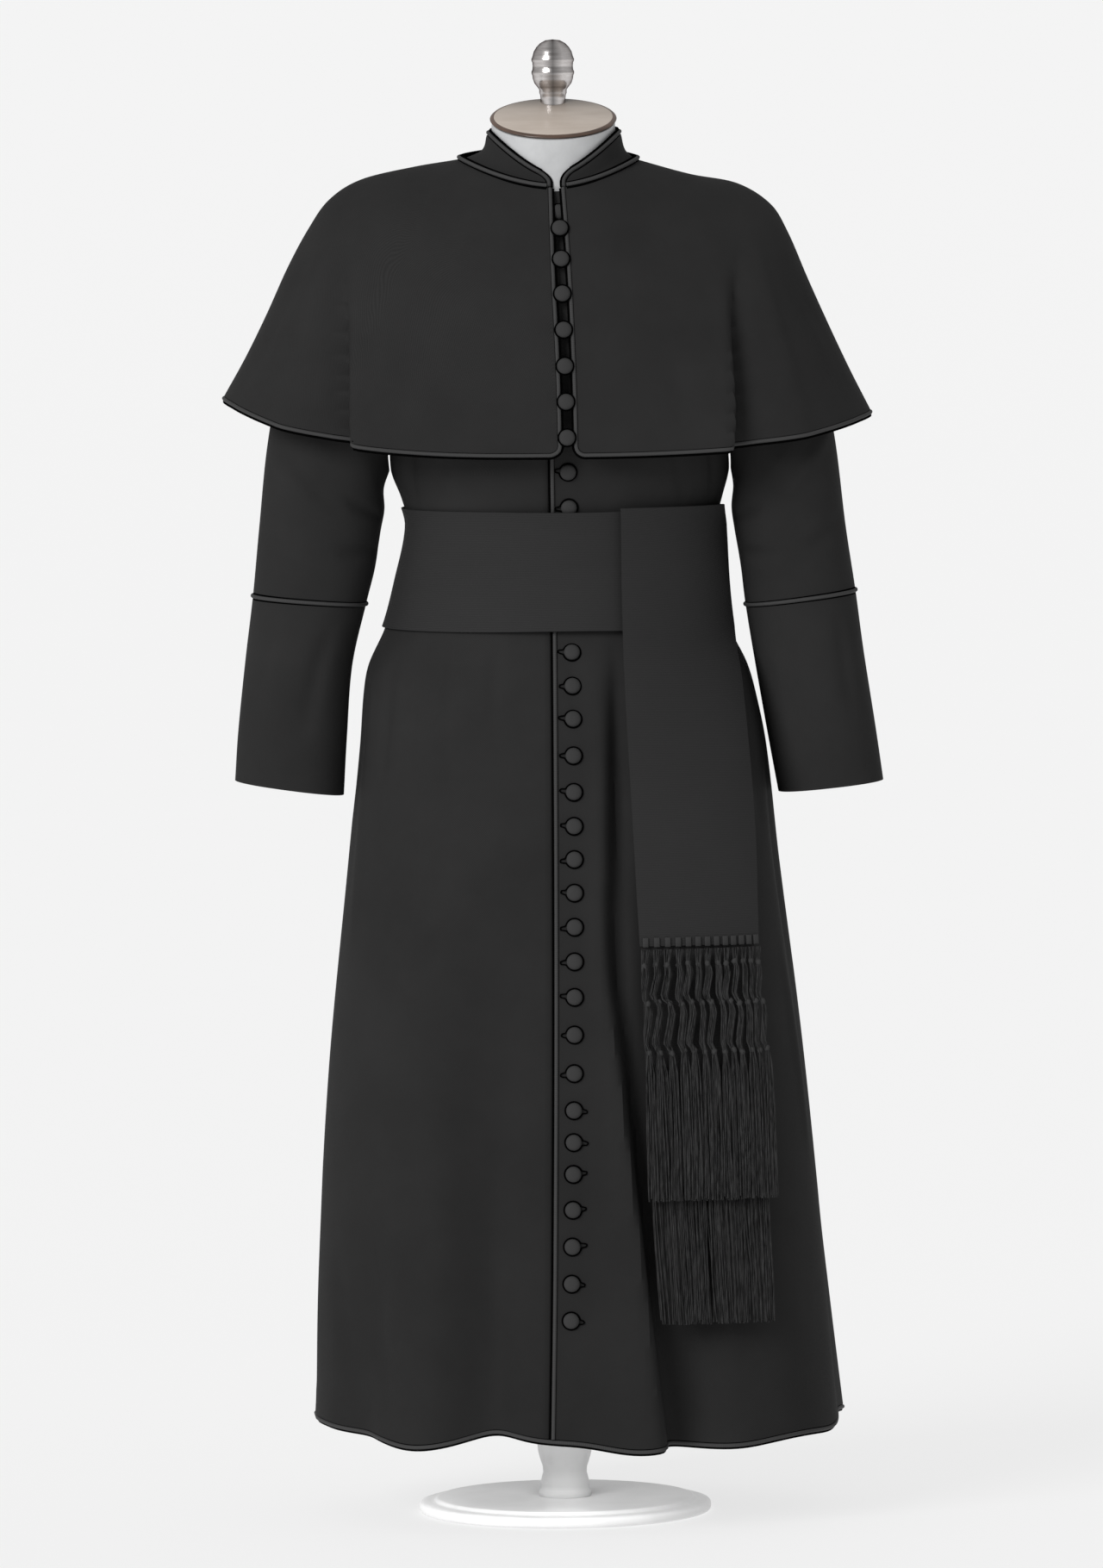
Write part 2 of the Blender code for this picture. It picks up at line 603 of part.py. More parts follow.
def turned_mesh(profile, sides, bottom=None, top=None):
    """A lathe-turned shape about Z; it ends flat, or in a point at height bottom or top."""
    bm = bmesh.new()
    verts = [bm.verts.new((radius, 0, height)) for radius, height in profile]
    if bottom is not None:
        verts.insert(0, bm.verts.new((0, 0, bottom)))
    if top is not None:
        verts.append(bm.verts.new((0, 0, top)))
    edges = [bm.edges.new(pair) for pair in zip(verts, verts[1:])]
    bmesh.ops.spin(bm, geom=verts + edges, axis=(0, 0, 1), cent=(0, 0, 0), angle=math.tau, steps=sides, use_merge=True)
    bmesh.ops.remove_doubles(bm, verts=bm.verts, dist=1e-6)
    bmesh.ops.holes_fill(bm, edges=[edge for edge in bm.edges if edge.is_boundary], sides=0)
    return bm


def loft(name, rings, material):
    """A closed solid through rings of points, flat at both ends."""
    bm = bmesh.new()
    loops = [[bm.verts.new(point) for point in ring] for ring in rings]
    count = len(rings[0])
    for low, high in zip(loops, loops[1:]):
        for k in range(count):
            m = (k + 1) % count
            bm.faces.new((low[k], low[m], high[m], high[k]))
    bm.faces.new(loops[0])
    bm.faces.new(loops[-1])
    return new_object(name, bm, material)


def finish(name, colour, roughness, metallic=0.0):
    material = bpy.data.materials.new(name)
    material.use_nodes = True
    shader = material.node_tree.nodes["Principled BSDF"]
    shader.inputs["Base Color"].default_value = (*colour, 1)
    shader.inputs["Roughness"].default_value = roughness
    shader.inputs["Metallic"].default_value = metallic
    material.diffuse_color = (*colour, 1)
    return material


# Pieces


def even(start, end, count):
    return [start + (end - start) * k / count for k in range(count + 1)]


def make_body(wool, cord):
    """Left front over right front, and the back, with the armholes cut out and piping round the hem."""
    lefts, rights, backs = [], [], []
    for height in BODY_ROWS:
        front_seam, back_seam = side_seam(height, -1), side_seam(height, 1)
        room = angle_step(body, front_seam, height, SEAM_GAP / 2)
        bend = lap_angle(height, -LAP_BEND[0])
        lefts.append([(u, height) for u in even(lap_angle(height, 0), front_seam - room, 9)])
        under = [lap_angle(height, -LAP_BEND[1]), lap_angle(height, LAP)]
        rights.append([(u, height) for u in even(room - front_seam, bend, 8) + under])
        backs.append([(u, height) for u in even(back_seam + room, math.tau - back_seam - room, 20)])
    wall("front_left", lefts, body, CLOTH, wool)
    wall("front_right", rights, right_front, CLOTH, wool)
    wall("back", backs, body, CLOTH, wool)
    hem = [u for u, height in lefts[0] + backs[0]] + [u + math.tau for u, height in rights[0][:-3]]
    centres = [moved_out(body, u, HEM, -CLOTH / 2) + Vector((0, 0, PIPING)) for u in hem]
    tube("hem_piping", centres, [Vector((0, 0, 1))] * len(hem), PIPING, cord, closed=True)
    path = [(lap_angle(height, 0), height) for height in BODY_ROWS if height < EDGE_TOP]
    edge_piping("front_edge_piping", body, path[::-1], cord, lift=CLOTH / 2 + 0.0002)


def make_sleeves(wool, cord):
    room = 0.055  # share of a ring step left free for the piping
    for side, name in ((1, "left"), (-1, "right")):
        surface = sleeve_surface(side)
        turns = [side * math.tau * k / SLEEVE_SIDES for k in range(SLEEVE_SIDES)]
        if side > 0:
            turns = [-turn for turn in turns][::-1]
        steps = [0.0, 0.5, 1, 2, 3, 4, CUFF_RING - room]
        wall("sleeve_" + name, [[(u, v) for u in turns] for v in steps[::-1]], surface, CLOTH, wool, closed=True)
        steps = [CUFF_RING + room, 6, 7, 8]
        wall("cuff_" + name, [[(u, v) for u in turns] for v in steps[::-1]], surface, CLOTH, wool, closed=True)
        centres = [moved_out(surface, u, CUFF_RING, 0.0004) for u in turns]
        outward = [surface(u, CUFF_RING) - moved_out(surface, u, CUFF_RING, 1) for u in turns]
        tube("cuff_piping_" + name, centres, outward, PIPING, cord, closed=True)


def make_cape(wool, cord):
    levels = [1, 0.875, 0.75, 0.62, 0.5, 0.375, 0.25, 0.125, 0]
    boundary = []
    for side, name in ((1, "left"), (-1, "right")):
        grid = []
        for v in levels[::-1]:
            edge = cape_edge(v, side)
            inset = angle_step(cape, math.pi, v, SEAM_GAP / 2)
            near = [edge + side * angle_step(cape, 0, v, distance) for distance in (0, CAPE_CORNER / 3, CAPE_CORNER)]
            angles = near + even(near[-1], side * (math.pi - inset), 15)[1:]
            row = [(angle, v + cape_corner_share(angle, edge, v)) for angle in angles]
            grid.append(row if side > 0 else row[::-1])
        wall("cape_" + name, grid, cape, CLOTH, wool)
        hem = grid[0] if side > 0 else grid[0][::-1]
        front = [row[0] if side > 0 else row[-1] for row in grid[1:]]
        path = front[::-1] + hem[:-1]
        boundary.append(path)
    path = boundary[0] + [(math.pi, 0)] + [(angle + math.tau, v) for angle, v in boundary[1][::-1]]
    edge_piping("cape_piping", cape, path, cord)


def cape_corner_share(angle, edge, v):
    """How far up a hem point moves to round the front corner; rows above the hem move less."""
    return cape_corner(abs(angle - edge) / angle_step(cape, 0, 0, 1)) * max(0, 1 - v * 6)


def edge_piping(name, surface, path, cord, closed=False, lift=0.0, clear=LAY_GAP):
    """A cord sewn along an edge: path is (u, v) along the edge with the cloth on its left."""
    points = [surface(u, v) for u, v in path]
    normals = [moved_out(surface, u, v, 1) - surface(u, v) for u, v in path]
    count = len(points)
    centres = []
    for k in range(count):
        before = points[(k - 1) % count if closed else max(k - 1, 0)]
        after = points[(k + 1) % count if closed else min(k + 1, count - 1)]
        outward = (after - before).cross(normals[k]).normalized()
        centres.append(points[k] + outward * (PIPING + clear) + normals[k] * (lift - CLOTH / 2))
    return tube(name, centres, normals, PIPING, cord, closed)


def make_collar(wool, cord):
    shares = [0, 0.35, 1]
    grid = []
    for share in shares:
        start, end = collar_edge(share, 1), collar_edge(share, -1) + math.tau
        near, far = COLLAR_NEAR
        angles = [start, start + near] + even(start + far, end - far, 22) + [end - near, end]
        row = []
        for angle in angles:
            side = 1 if angle < math.pi else -1
            shift = angle if side > 0 else angle - math.tau
            row.append((angle, share * collar_corner(shift - collar_edge(share, side) + collar_edge(1, side), side)))
        grid.append(row)
    wall("collar", grid, collar, CLOTH, wool)
    top = grid[-1]
    middle = grid[1]
    path = [middle[0]] + top + [middle[-1]]
    start, end = grid[0][0], grid[0][-1]
    path = [(start[0], 0.12)] + path + [(end[0], 0.12)]
    edge_piping("collar_piping", collar, path[::-1], cord, clear=3 * LAY_GAP)


def make_neck_piping(cord):
    start, end = cape_edge(1, 1) + 0.01, cape_edge(1, -1) - 0.01 + math.tau
    path = [(angle, 1.0) for angle in even(start, end, 30)]
    centres = [cape(u, v) + Vector((0, 0, PIPING + 2 * LAY_GAP)) for u, v in path]
    tube("neck_piping", centres, [Vector((0, 0, 1))] * len(path), PIPING, cord)


def make_sash(ribbed, silk):
    turns = [math.tau * k / 40 for k in range(40)]
    heights = [SASH_LOW, 1.010, 1.035, 1.065, 1.095, SASH_HIGH]
    wall("sash_band", [[(u, v) for u in turns] for v in heights], sash, SASH_CLOTH, ribbed, closed=True)
    under = END_GAP + SASH_CLOTH
    for name, table, layer in (("sash_end_under", END_UNDER, under), ("sash_end_over", END_OVER, 2 * under)):
        heights = [table[-1].height] + [v for v in END_ROWS[::-1] if v > table[-1].height] + [table[0].height]
        wall(name, [[(u, v) for u in even(0, 1, 11)] for v in heights], hanging(table, layer), SASH_CLOTH, ribbed)
    under += FRINGE_DEPTH / 2
    over = 2 * END_GAP + FRINGE_DEPTH + under
    for name, table, layer in (("fringe_under", FRINGE_UNDER, under), ("fringe_over", FRINGE_OVER, over)):
        grid = [[(u, v) for u in even(0, 1, 6)] for v in even(table[-1].height, table[0].height, 4)]
        wall(name, grid, hanging(table, layer), FRINGE_DEPTH, silk)


def cape_share(height):
    """The cape's v where its front edges pass a height."""
    low, high = 0.0, 1.0
    for _ in range(20):
        middle = (low + high) / 2
        low, high = (middle, high) if cape(0, middle).z < height else (low, middle)
    return low


def button_place(number):
    """Where a button sits, and which way it faces."""
    height = BUTTON_HIGH + (BUTTON_LOW - BUTTON_HIGH) * (number - 1) / (BUTTON_COUNT - 1)
    height += between(BUTTON_SPACING, number).raised
    x = BUTTON_X - BUTTON_X_BEND * ((height - BUTTON_MIDDLE) / BUTTON_REACH) ** 2
    surface, v, gap, row, power = body, height, BUTTON_GAP, between(BODY, height), BODY_POWER
    if CAPE_BUTTONS[0] <= number <= CAPE_BUTTONS[1]:
        v, gap, power = cape_share(height), CAPE_BUTTON_GAP, CAPE_POWER
        surface, row = cape, CapeRing(*along([Vector(ring) for ring in CAPE], (1 - v) * (len(CAPE) - 1)))
    angle = angle_at(x, row.left, row.right, power)
    return moved_out(surface, angle, v, gap), moved_out(surface, angle, v, 1) - surface(angle, v)


def make_buttons(covered):
    profile = [(BUTTON_RADIUS * 0.90, 0), (BUTTON_RADIUS, BUTTON_THICK * 0.30), (BUTTON_RADIUS * 0.70, BUTTON_THICK * 0.82)]
    shape = new_object("button_01", turned_mesh(profile, BUTTON_SIDES, 0, BUTTON_THICK), covered)
    for number in range(1, BUTTON_COUNT + 1):
        point, facing = button_place(number)
        button = shape
        if number > 1:
            button = bpy.data.objects.new(f"button_{number:02d}", shape.data)
            bpy.context.scene.collection.objects.link(button)
        button.location = point
        button.rotation_euler = facing.to_track_quat("Z", "Y").to_euler()


def make_form(cloth_grey, wood, chrome, paint):
    """The limbless torso with its neck, the neck's cap, the finial, and the stand."""
    turns = [math.tau * k / FORM_SIDES for k in range(FORM_SIDES)]
    rings = []
    for ring in FORM_HIPS:
        places = [around(a, ring.left, ring.right, ring.front, ring.back, BODY_POWER) for a in turns]
        rings.append([Vector((x, y, ring.height)) for x, y in places])
    for height in FORM_HEIGHTS:
        rings.append([moved_out(plain_body, a, height, -FORM_INSET) for a in turns])
    for height, extra in NECK_RINGS:
        radius = NECK_RADIUS + extra
        rings.append([Vector((radius * math.sin(a), -radius * math.cos(a), height)) for a in turns])
    neck_top = []
    for a in turns:
        x, y = NECK_RADIUS * math.sin(a), -NECK_RADIUS * math.cos(a)
        neck_top.append(Vector((x, y, CAP_CENTRE_Z + y * math.tan(CAP_TILT) - CAP_THICK / math.cos(CAP_TILT) - 0.0005)))
    rings.append(neck_top)
    loft("form_torso", rings, cloth_grey)
    profile = [
        (CAP_RADIUS - 0.0015, -CAP_THICK),
        (CAP_RADIUS, -CAP_THICK + 0.0015),
        (CAP_RADIUS, -0.0015),
        (CAP_RADIUS - 0.0015, 0),
    ]
    cap = turned_mesh(profile, FORM_SIDES)
    tilt = Matrix.Translation((0, 0, CAP_CENTRE_Z)) @ Matrix.Rotation(CAP_TILT, 4, "X")
    bmesh.ops.transform(cap, matrix=tilt, verts=cap.verts)
    new_object("form_neck_cap", cap, wood)
    finial = turned_mesh(FINIAL_PROFILE, LATHE_SIDES, None, FINIAL_TOP)
    foot = Vector((0, FINIAL_BACK, CAP_CENTRE_Z + FINIAL_BACK * math.tan(CAP_TILT)))
    bmesh.ops.translate(finial, vec=foot, verts=finial.verts)
    up = Vector((0, -math.sin(CAP_TILT), math.cos(CAP_TILT)))
    everything = finial.verts[:] + finial.edges[:] + finial.faces[:]
    bmesh.ops.bisect_plane(finial, geom=everything, plane_co=foot + up * SEAM_GAP, plane_no=up, clear_inner=True)
    bmesh.ops.holes_fill(finial, edges=[edge for edge in finial.edges if edge.is_boundary], sides=0)
    new_object("form_finial", finial, chrome)
    new_object("stand_pole", turned_mesh(POLE_PROFILE, LATHE_SIDES), paint)
    new_object("stand_base", turned_mesh(BASE_PROFILE, 2 * LATHE_SIDES), paint)


def main():
    for item in list(bpy.data.objects):
        bpy.data.objects.remove(item, do_unlink=True)
    wool = finish("black_wool", (0.024, 0.024, 0.025), 0.85)
    cord = finish("black_piping", (0.030, 0.030, 0.031), 0.60)
    ribbed = finish("black_ribbed_sash", (0.030, 0.030, 0.031), 0.75)
    silk = finish("black_fringe", (0.016, 0.016, 0.016), 0.55)
    covered = finish("black_button_cloth", (0.040, 0.040, 0.041), 0.75)
    cloth_grey = finish("grey_form_cloth", (0.45, 0.46, 0.47), 0.80)
    wood = finish("brown_wood", (0.42, 0.34, 0.27), 0.55)
    chrome = finish("chrome", (0.80, 0.78, 0.77), 0.15, 1.0)
    paint = finish("white_grey_paint", (0.68, 0.69, 0.70), 0.45)
    make_body(wool, cord)
    make_sleeves(wool, cord)
    make_cape(wool, cord)
    make_collar(wool, cord)
    make_neck_piping(cord)
    make_sash(ribbed, silk)
    make_buttons(covered)
    make_form(cloth_grey, wood, chrome, paint)


main()
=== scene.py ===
import math
import random

import bmesh
import bpy
import numpy as np
from mathutils import Matrix, Vector


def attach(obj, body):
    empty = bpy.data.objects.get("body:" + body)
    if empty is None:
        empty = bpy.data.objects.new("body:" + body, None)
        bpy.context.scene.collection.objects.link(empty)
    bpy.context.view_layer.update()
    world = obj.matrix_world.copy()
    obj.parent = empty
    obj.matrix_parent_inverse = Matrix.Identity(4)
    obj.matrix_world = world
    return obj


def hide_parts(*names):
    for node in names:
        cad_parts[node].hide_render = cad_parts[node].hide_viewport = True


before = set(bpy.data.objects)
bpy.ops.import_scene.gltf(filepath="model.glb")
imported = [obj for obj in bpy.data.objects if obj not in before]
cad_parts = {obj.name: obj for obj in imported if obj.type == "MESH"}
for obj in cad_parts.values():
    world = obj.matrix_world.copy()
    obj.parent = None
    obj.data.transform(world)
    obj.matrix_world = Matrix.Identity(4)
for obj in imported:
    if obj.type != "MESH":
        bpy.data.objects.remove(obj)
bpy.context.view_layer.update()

scene = bpy.context.scene
dice = random.Random(41)
print("frame loaded:", len(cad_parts), "nodes")

# camera, floor and light

studio = {
    "eye": (-0.0120, -15.0, 1.950),
    "target": (-0.0083, 0.0, 0.8085),
    "lens": 312.3,
    "roll": -0.50,  # degrees
    "floorSize": 400.0,
    "floorTone": 0.16,  # what the floor scatters
    "floorGlow": 0.735,  # what it gives off, as a light table does
    "skyTone": 0.50,
    "keyStrength": 2.05,
    "keyTurn": (64, 0, -39),  # degrees, from the upper left
    "keySoftness": 28,  # degrees
    "standFill": 1.8,  # a light for the stand alone, which the skirt would shade
    "standFillTurn": (20, 0, -8),
    "standFillSoftness": 30,
}

cameraData = bpy.data.cameras.new("studioCamera")
cameraData.lens = studio["lens"]
cameraData.sensor_width = 36
cameraData.clip_start, cameraData.clip_end = 0.1, 400
camera = bpy.data.objects.new("studioCamera", cameraData)
scene.collection.objects.link(camera)
camera.location = studio["eye"]
aim = (Vector(studio["target"]) - Vector(studio["eye"])).to_track_quat("-Z", "Y")
camera.rotation_euler = (aim.to_matrix() @ Matrix.Rotation(math.radians(studio["roll"]), 3, "Z")).to_euler()
scene.camera = camera
scene.view_settings.view_transform = "Standard"

sky = bpy.data.worlds.new("studioSky")
sky.use_nodes = True
sky.node_tree.nodes["Background"].inputs["Color"].default_value = (*[studio["skyTone"]] * 3, 1)
scene.world = sky


def sunLight(name, strength, turns, softness):
    data = bpy.data.lights.new(name, "SUN")
    data.energy = strength
    data.angle = math.radians(softness)
    light = bpy.data.objects.new(name, data)
    light.rotation_euler = [math.radians(turn) for turn in turns]
    scene.collection.objects.link(light)
    return light


sunLight("keyLight", studio["keyStrength"], studio["keyTurn"], studio["keySoftness"])
standGroup = bpy.data.collections.new("standGroup")
fill = sunLight("standFillLight", studio["standFill"], studio["standFillTurn"], studio["standFillSoftness"])
fill.light_linking.receiver_collection = standGroup
fill.light_linking.blocker_collection = standGroup


# materials

def newMaterial(name, roughness, **sockets):
    material = bpy.data.materials.new(name)
    material.use_nodes = True
    shader = material.node_tree.nodes["Principled BSDF"]
    shader.inputs["Roughness"].default_value = roughness
    for socket, value in sockets.items():
        shader.inputs[socket.replace("_", " ")].default_value = value
    return material, material.node_tree, shader


def addNode(tree, kind, links=(), **values):
    # links: (input name, output socket); values: node properties, or inputs by name with _ for spaces
    node = tree.nodes.new("ShaderNode" + kind)
    for name, value in values.items():
        if hasattr(node, name):
            setattr(node, name, value)
        else:
            node.inputs[name.replace("_", " ")].default_value = value
    for name, socket in links:
        tree.links.new(socket, node.inputs[name])
    return node


def timesNode(tree, first, second):
    colour = addNode(tree, "Mix", data_type="RGBA", blend_type="MULTIPLY")
    colour.inputs["Factor"].default_value = 1.0
    tree.links.new(first, colour.inputs[6])
    tree.links.new(second, colour.inputs[7])
    return colour.outputs[2]


def rampNode(tree, source, stops):
    ramp = addNode(tree, "ValToRGB", [("Fac", source)])
    elements = ramp.color_ramp.elements
    while len(elements) < len(stops):
        elements.new(0.5)
    for element, (place, tone) in zip(elements, stops):
        element.position = place
        element.color = (*tone, 1) if hasattr(tone, "__len__") else (tone, tone, tone, 1)
    return ramp


def addBump(tree, shader, source, strength, distance):
    relief = addNode(tree, "Bump", [("Height", source)], Strength=strength, Distance=distance)
    tree.links.new(relief.outputs["Normal"], shader.inputs["Normal"])


def scaled(tone, share):
    return tuple(channel * share for channel in tone)


def clothMaterial(name, tone, roughness, weave, pitch, weaveDepth, mottle=0.14, sheen=0.0, ribShade=0.10,
                  lowPaintedShade=0.0):
    # weave: twill runs diagonally, rib runs across; UV is in metres along the cloth
    material, tree, shader = newMaterial(name, roughness, Specular_IOR_Level=0.12, Sheen_Weight=sheen)
    shader.inputs["Sheen Roughness"].default_value = 0.5
    place = addNode(tree, "TexCoord")
    lines = addNode(tree, "TexWave", [("Vector", place.outputs["UV"])], wave_type="BANDS",
                    bands_direction="DIAGONAL" if weave == "twill" else "Y",
                    Scale=(0.628 if weave == "twill" else 0.314) / pitch, Distortion=1.2, Detail=2.0, Detail_Scale=3.0)
    yarn = addNode(tree, "TexNoise", [("Vector", place.outputs["UV"])], Scale=0.55 / pitch, Detail=3.0, Roughness=0.6)
    cloud = addNode(tree, "TexNoise", [("Vector", place.outputs["Object"])], Scale=7.0, Detail=4.0, Roughness=0.6)
    grain = addNode(tree, "Mix", data_type="FLOAT", Factor=0.5)
    tree.links.new(lines.outputs["Fac"], grain.inputs["A"])
    tree.links.new(yarn.outputs["Fac"], grain.inputs["B"])
    wide = rampNode(tree, cloud.outputs["Fac"], [(0.30, scaled(tone, 1 - mottle)), (0.72, scaled(tone, 1 + mottle))])
    fine = rampNode(tree, grain.outputs["Result"], [(0.30, 1 - ribShade), (0.70, 1 + ribShade)])
    colour = timesNode(tree, wide.outputs["Color"], fine.outputs["Color"])
    # painted shade: the colour darkens towards the hem, where less light falls
    tall = addNode(tree, "SeparateXYZ", [("Vector", place.outputs["Object"])])
    height = rampNode(tree, tall.outputs["Z"], [(0.15, 1 - lowPaintedShade), (0.90, 1.0)])
    tree.links.new(timesNode(tree, colour, height.outputs["Color"]), shader.inputs["Base Color"])
    matt = rampNode(tree, yarn.outputs["Fac"], [(0.25, roughness - 0.07), (0.75, roughness + 0.07)])
    tree.links.new(matt.outputs["Color"], shader.inputs["Roughness"])
    addBump(tree, shader, grain.outputs["Result"], weaveDepth, 0.0006)
    return material


def cordMaterial(name, crest, side, roughness):
    # UV: u along the cord in metres, v round it with the crest at 0.5. Round the cord the colour runs from near black
    # at the sides to light on the crest: painted shade where the cord meets the cloth, and a painted highlight along
    # the crest
    material, tree, shader = newMaterial(name, roughness, Specular_IOR_Level=0.10)
    place = addNode(tree, "TexCoord")
    parts = addNode(tree, "SeparateXYZ", [("Vector", place.outputs["UV"])])
    paintedLightRound = rampNode(tree, parts.outputs["Y"], [(0.18, side), (0.34, crest), (0.66, crest), (0.82, side)])
    ribs = addNode(tree, "TexWave", [("Vector", place.outputs["UV"])], wave_type="BANDS", bands_direction="X",
                   Scale=0.314 / 0.0022, Distortion=0.8, Detail=1.0)
    tone = rampNode(tree, ribs.outputs["Fac"], [(0.0, 0.86), (1.0, 1.10)])
    tree.links.new(timesNode(tree, paintedLightRound.outputs["Color"], tone.outputs["Color"]), shader.inputs["Base Color"])
    addBump(tree, shader, ribs.outputs["Fac"], 0.25, 0.0003)
    return material


def threadMaterial(name, low, high, roughness, stretch, gloss=0.14):
    # fine yarns: streaks along the thread, on object coordinates
    material, tree, shader = newMaterial(name, roughness, Specular_IOR_Level=gloss)
    place = addNode(tree, "TexCoord")
    squeeze = addNode(tree, "Mapping", [("Vector", place.outputs["Object"])], Scale=stretch)
    streak = addNode(tree, "TexNoise", [("Vector", squeeze.outputs["Vector"])], Scale=1.0, Detail=4.0, Roughness=0.65)
    colour = rampNode(tree, streak.outputs["Fac"], [(0.34, low), (0.66, high)])
    tree.links.new(colour.outputs["Color"], shader.inputs["Base Color"])
    twist = addNode(tree, "TexWave", [("Vector", place.outputs["Object"])], wave_type="BANDS",
                    bands_direction="DIAGONAL", Scale=0.628 / 0.0016, Distortion=1.0)
    addBump(tree, shader, twist.outputs["Fac"], 0.35, 0.0003)
    return material


def smoothMaterial(name, low, high, roughness, scale, bumpDepth=0.05, metallic=0.0, coat=0.0):
    # painted, turned or covered surfaces: soft blotches, and a little unevenness
    material, tree, shader = newMaterial(name, roughness, Metallic=metallic, Coat_Weight=coat)
    place = addNode(tree, "TexCoord")
    squeeze = addNode(tree, "Mapping", [("Vector", place.outputs["Object"])], Scale=scale)
    blotch = addNode(tree, "TexNoise", [("Vector", squeeze.outputs["Vector"])], Scale=1.0, Detail=5.0, Roughness=0.6)
    colour = rampNode(tree, blotch.outputs["Fac"], [(0.30, low), (0.70, high)])
    tree.links.new(colour.outputs["Color"], shader.inputs["Base Color"])
    matt = rampNode(tree, blotch.outputs["Fac"], [(0.3, roughness - 0.05), (0.7, roughness + 0.05)])
    tree.links.new(matt.outputs["Color"], shader.inputs["Roughness"])
    addBump(tree, shader, blotch.outputs["Fac"], bumpDepth, 0.0010)
    return material


def shadeBy(material, source, stops):
    # multiplies the colour that the shader already has by a ramp
    tree = material.node_tree
    shader = tree.nodes["Principled BSDF"]
    ramp = rampNode(tree, source, stops)
    plain = shader.inputs["Base Color"].links[0].from_socket
    tree.links.new(timesNode(tree, plain, ramp.outputs["Color"]), shader.inputs["Base Color"])


def shadeAlong(material, axis, stops):
    # stops are (place along the axis in metres, share of the colour)
    tree = material.node_tree
    place = addNode(tree, "TexCoord")
    parts = addNode(tree, "SeparateXYZ", [("Vector", place.outputs["Object"])])
    low, high = stops[0][0], stops[-1][0]
    spot = addNode(tree, "MapRange", [("Value", parts.outputs[axis])])
    spot.inputs["From Min"].default_value, spot.inputs["From Max"].default_value = low, high
    shadeBy(material, spot.outputs["Result"], [((at - low) / (high - low), share) for at, share in stops])


def paintedReflectionRound(material, centre, stops):
    # painted reflection: dark and light streaks round an upright axis, standing for a studio mirrored in the metal;
    # stops are (share of a turn, share of the colour)
    tree = material.node_tree
    place = addNode(tree, "TexCoord")
    moved = addNode(tree, "Mapping", [("Vector", place.outputs["Object"])], Location=(-centre[0], -centre[1], 0))
    turn = addNode(tree, "TexGradient", [("Vector", moved.outputs["Vector"])], gradient_type="RADIAL")
    shadeBy(material, turn.outputs["Fac"], stops)


finishes = {
    "wool": (0.0200, 0.0198, 0.0198),
    "sash": (0.0232, 0.0230, 0.0232),
    # painted highlight on the piping's crest, painted shade at its sides
    "pipingCrestPaintedHighlight": (0.0460, 0.0458, 0.0460),
    "pipingSidePaintedShade": (0.0020, 0.0020, 0.0020),
    "seamPaintedShadow": (0.0012, 0.0012, 0.0012),
    "button": (0.0390, 0.0388, 0.0390),
    "yarnLow": (0.0020, 0.0020, 0.0020),
    "yarnHigh": (0.0350, 0.0348, 0.0350),
}
# the wool is given painted shade that darkens it towards the hem
woolCloth = clothMaterial("blackWoolTwill", finishes["wool"], 0.88, "twill", 0.0016, 0.30, lowPaintedShade=0.18)
sashCloth = clothMaterial("blackRibbedSilk", finishes["sash"], 0.80, "rib", 0.0018, 0.35, mottle=0.05, ribShade=0.12)
pipingCord = cordMaterial("blackPipingCord", finishes["pipingCrestPaintedHighlight"], finishes["pipingSidePaintedShade"], 0.65)
# near-black thread: seam and buttonhole thread, and painted shadow beside the pipings and round the buttons
seamAndShadowThread = threadMaterial("blackSeamAndShadowThread", scaled(finishes["seamPaintedShadow"], 0.7), scaled(finishes["seamPaintedShadow"], 1.3),
                            0.90, (300, 300, 300), gloss=0.0)
buttonCloth = clothMaterial("blackButtonCloth", finishes["button"], 0.80, "twill", 0.0011, 0.30, mottle=0.06)
fringeYarn = threadMaterial("blackFringeYarn", finishes["yarnLow"], finishes["yarnHigh"], 0.55, (700, 700, 40))
shadedYarn = threadMaterial("blackShadedYarn", scaled(finishes["yarnLow"], 0.6), scaled(finishes["yarnHigh"], 0.9),
                            0.55, (700, 700, 40))
formJersey = smoothMaterial("greyFormJersey", (0.47, 0.475, 0.48), (0.53, 0.535, 0.54), 0.85, (60, 60, 60), 0.10)
capWood = smoothMaterial("paleTurnedWood", (0.47, 0.40, 0.34), (0.55, 0.48, 0.42), 0.50, (18, 60, 60), 0.05, coat=0.1)
# the cap's colour darkens towards its back
shadeAlong(capWood, "Y", [(-0.020, 1.0), (0.024, 0.86), (0.060, 0.30)])
rimWood = smoothMaterial("darkRimWood", (0.050, 0.028, 0.018), (0.110, 0.062, 0.040), 0.40, (30, 30, 120), 0.05,
                         coat=0.2)
chromeMetal = smoothMaterial("brushedChromePaintedReflections", (0.52, 0.49, 0.48), (0.74, 0.71, 0.70), 0.22, (40, 40, 300), 0.03,
                             metallic=1.0)
chromeMetal.node_tree.nodes["Principled BSDF"].inputs["Specular Tint"].default_value = (0.20, 0.18, 0.18, 1)
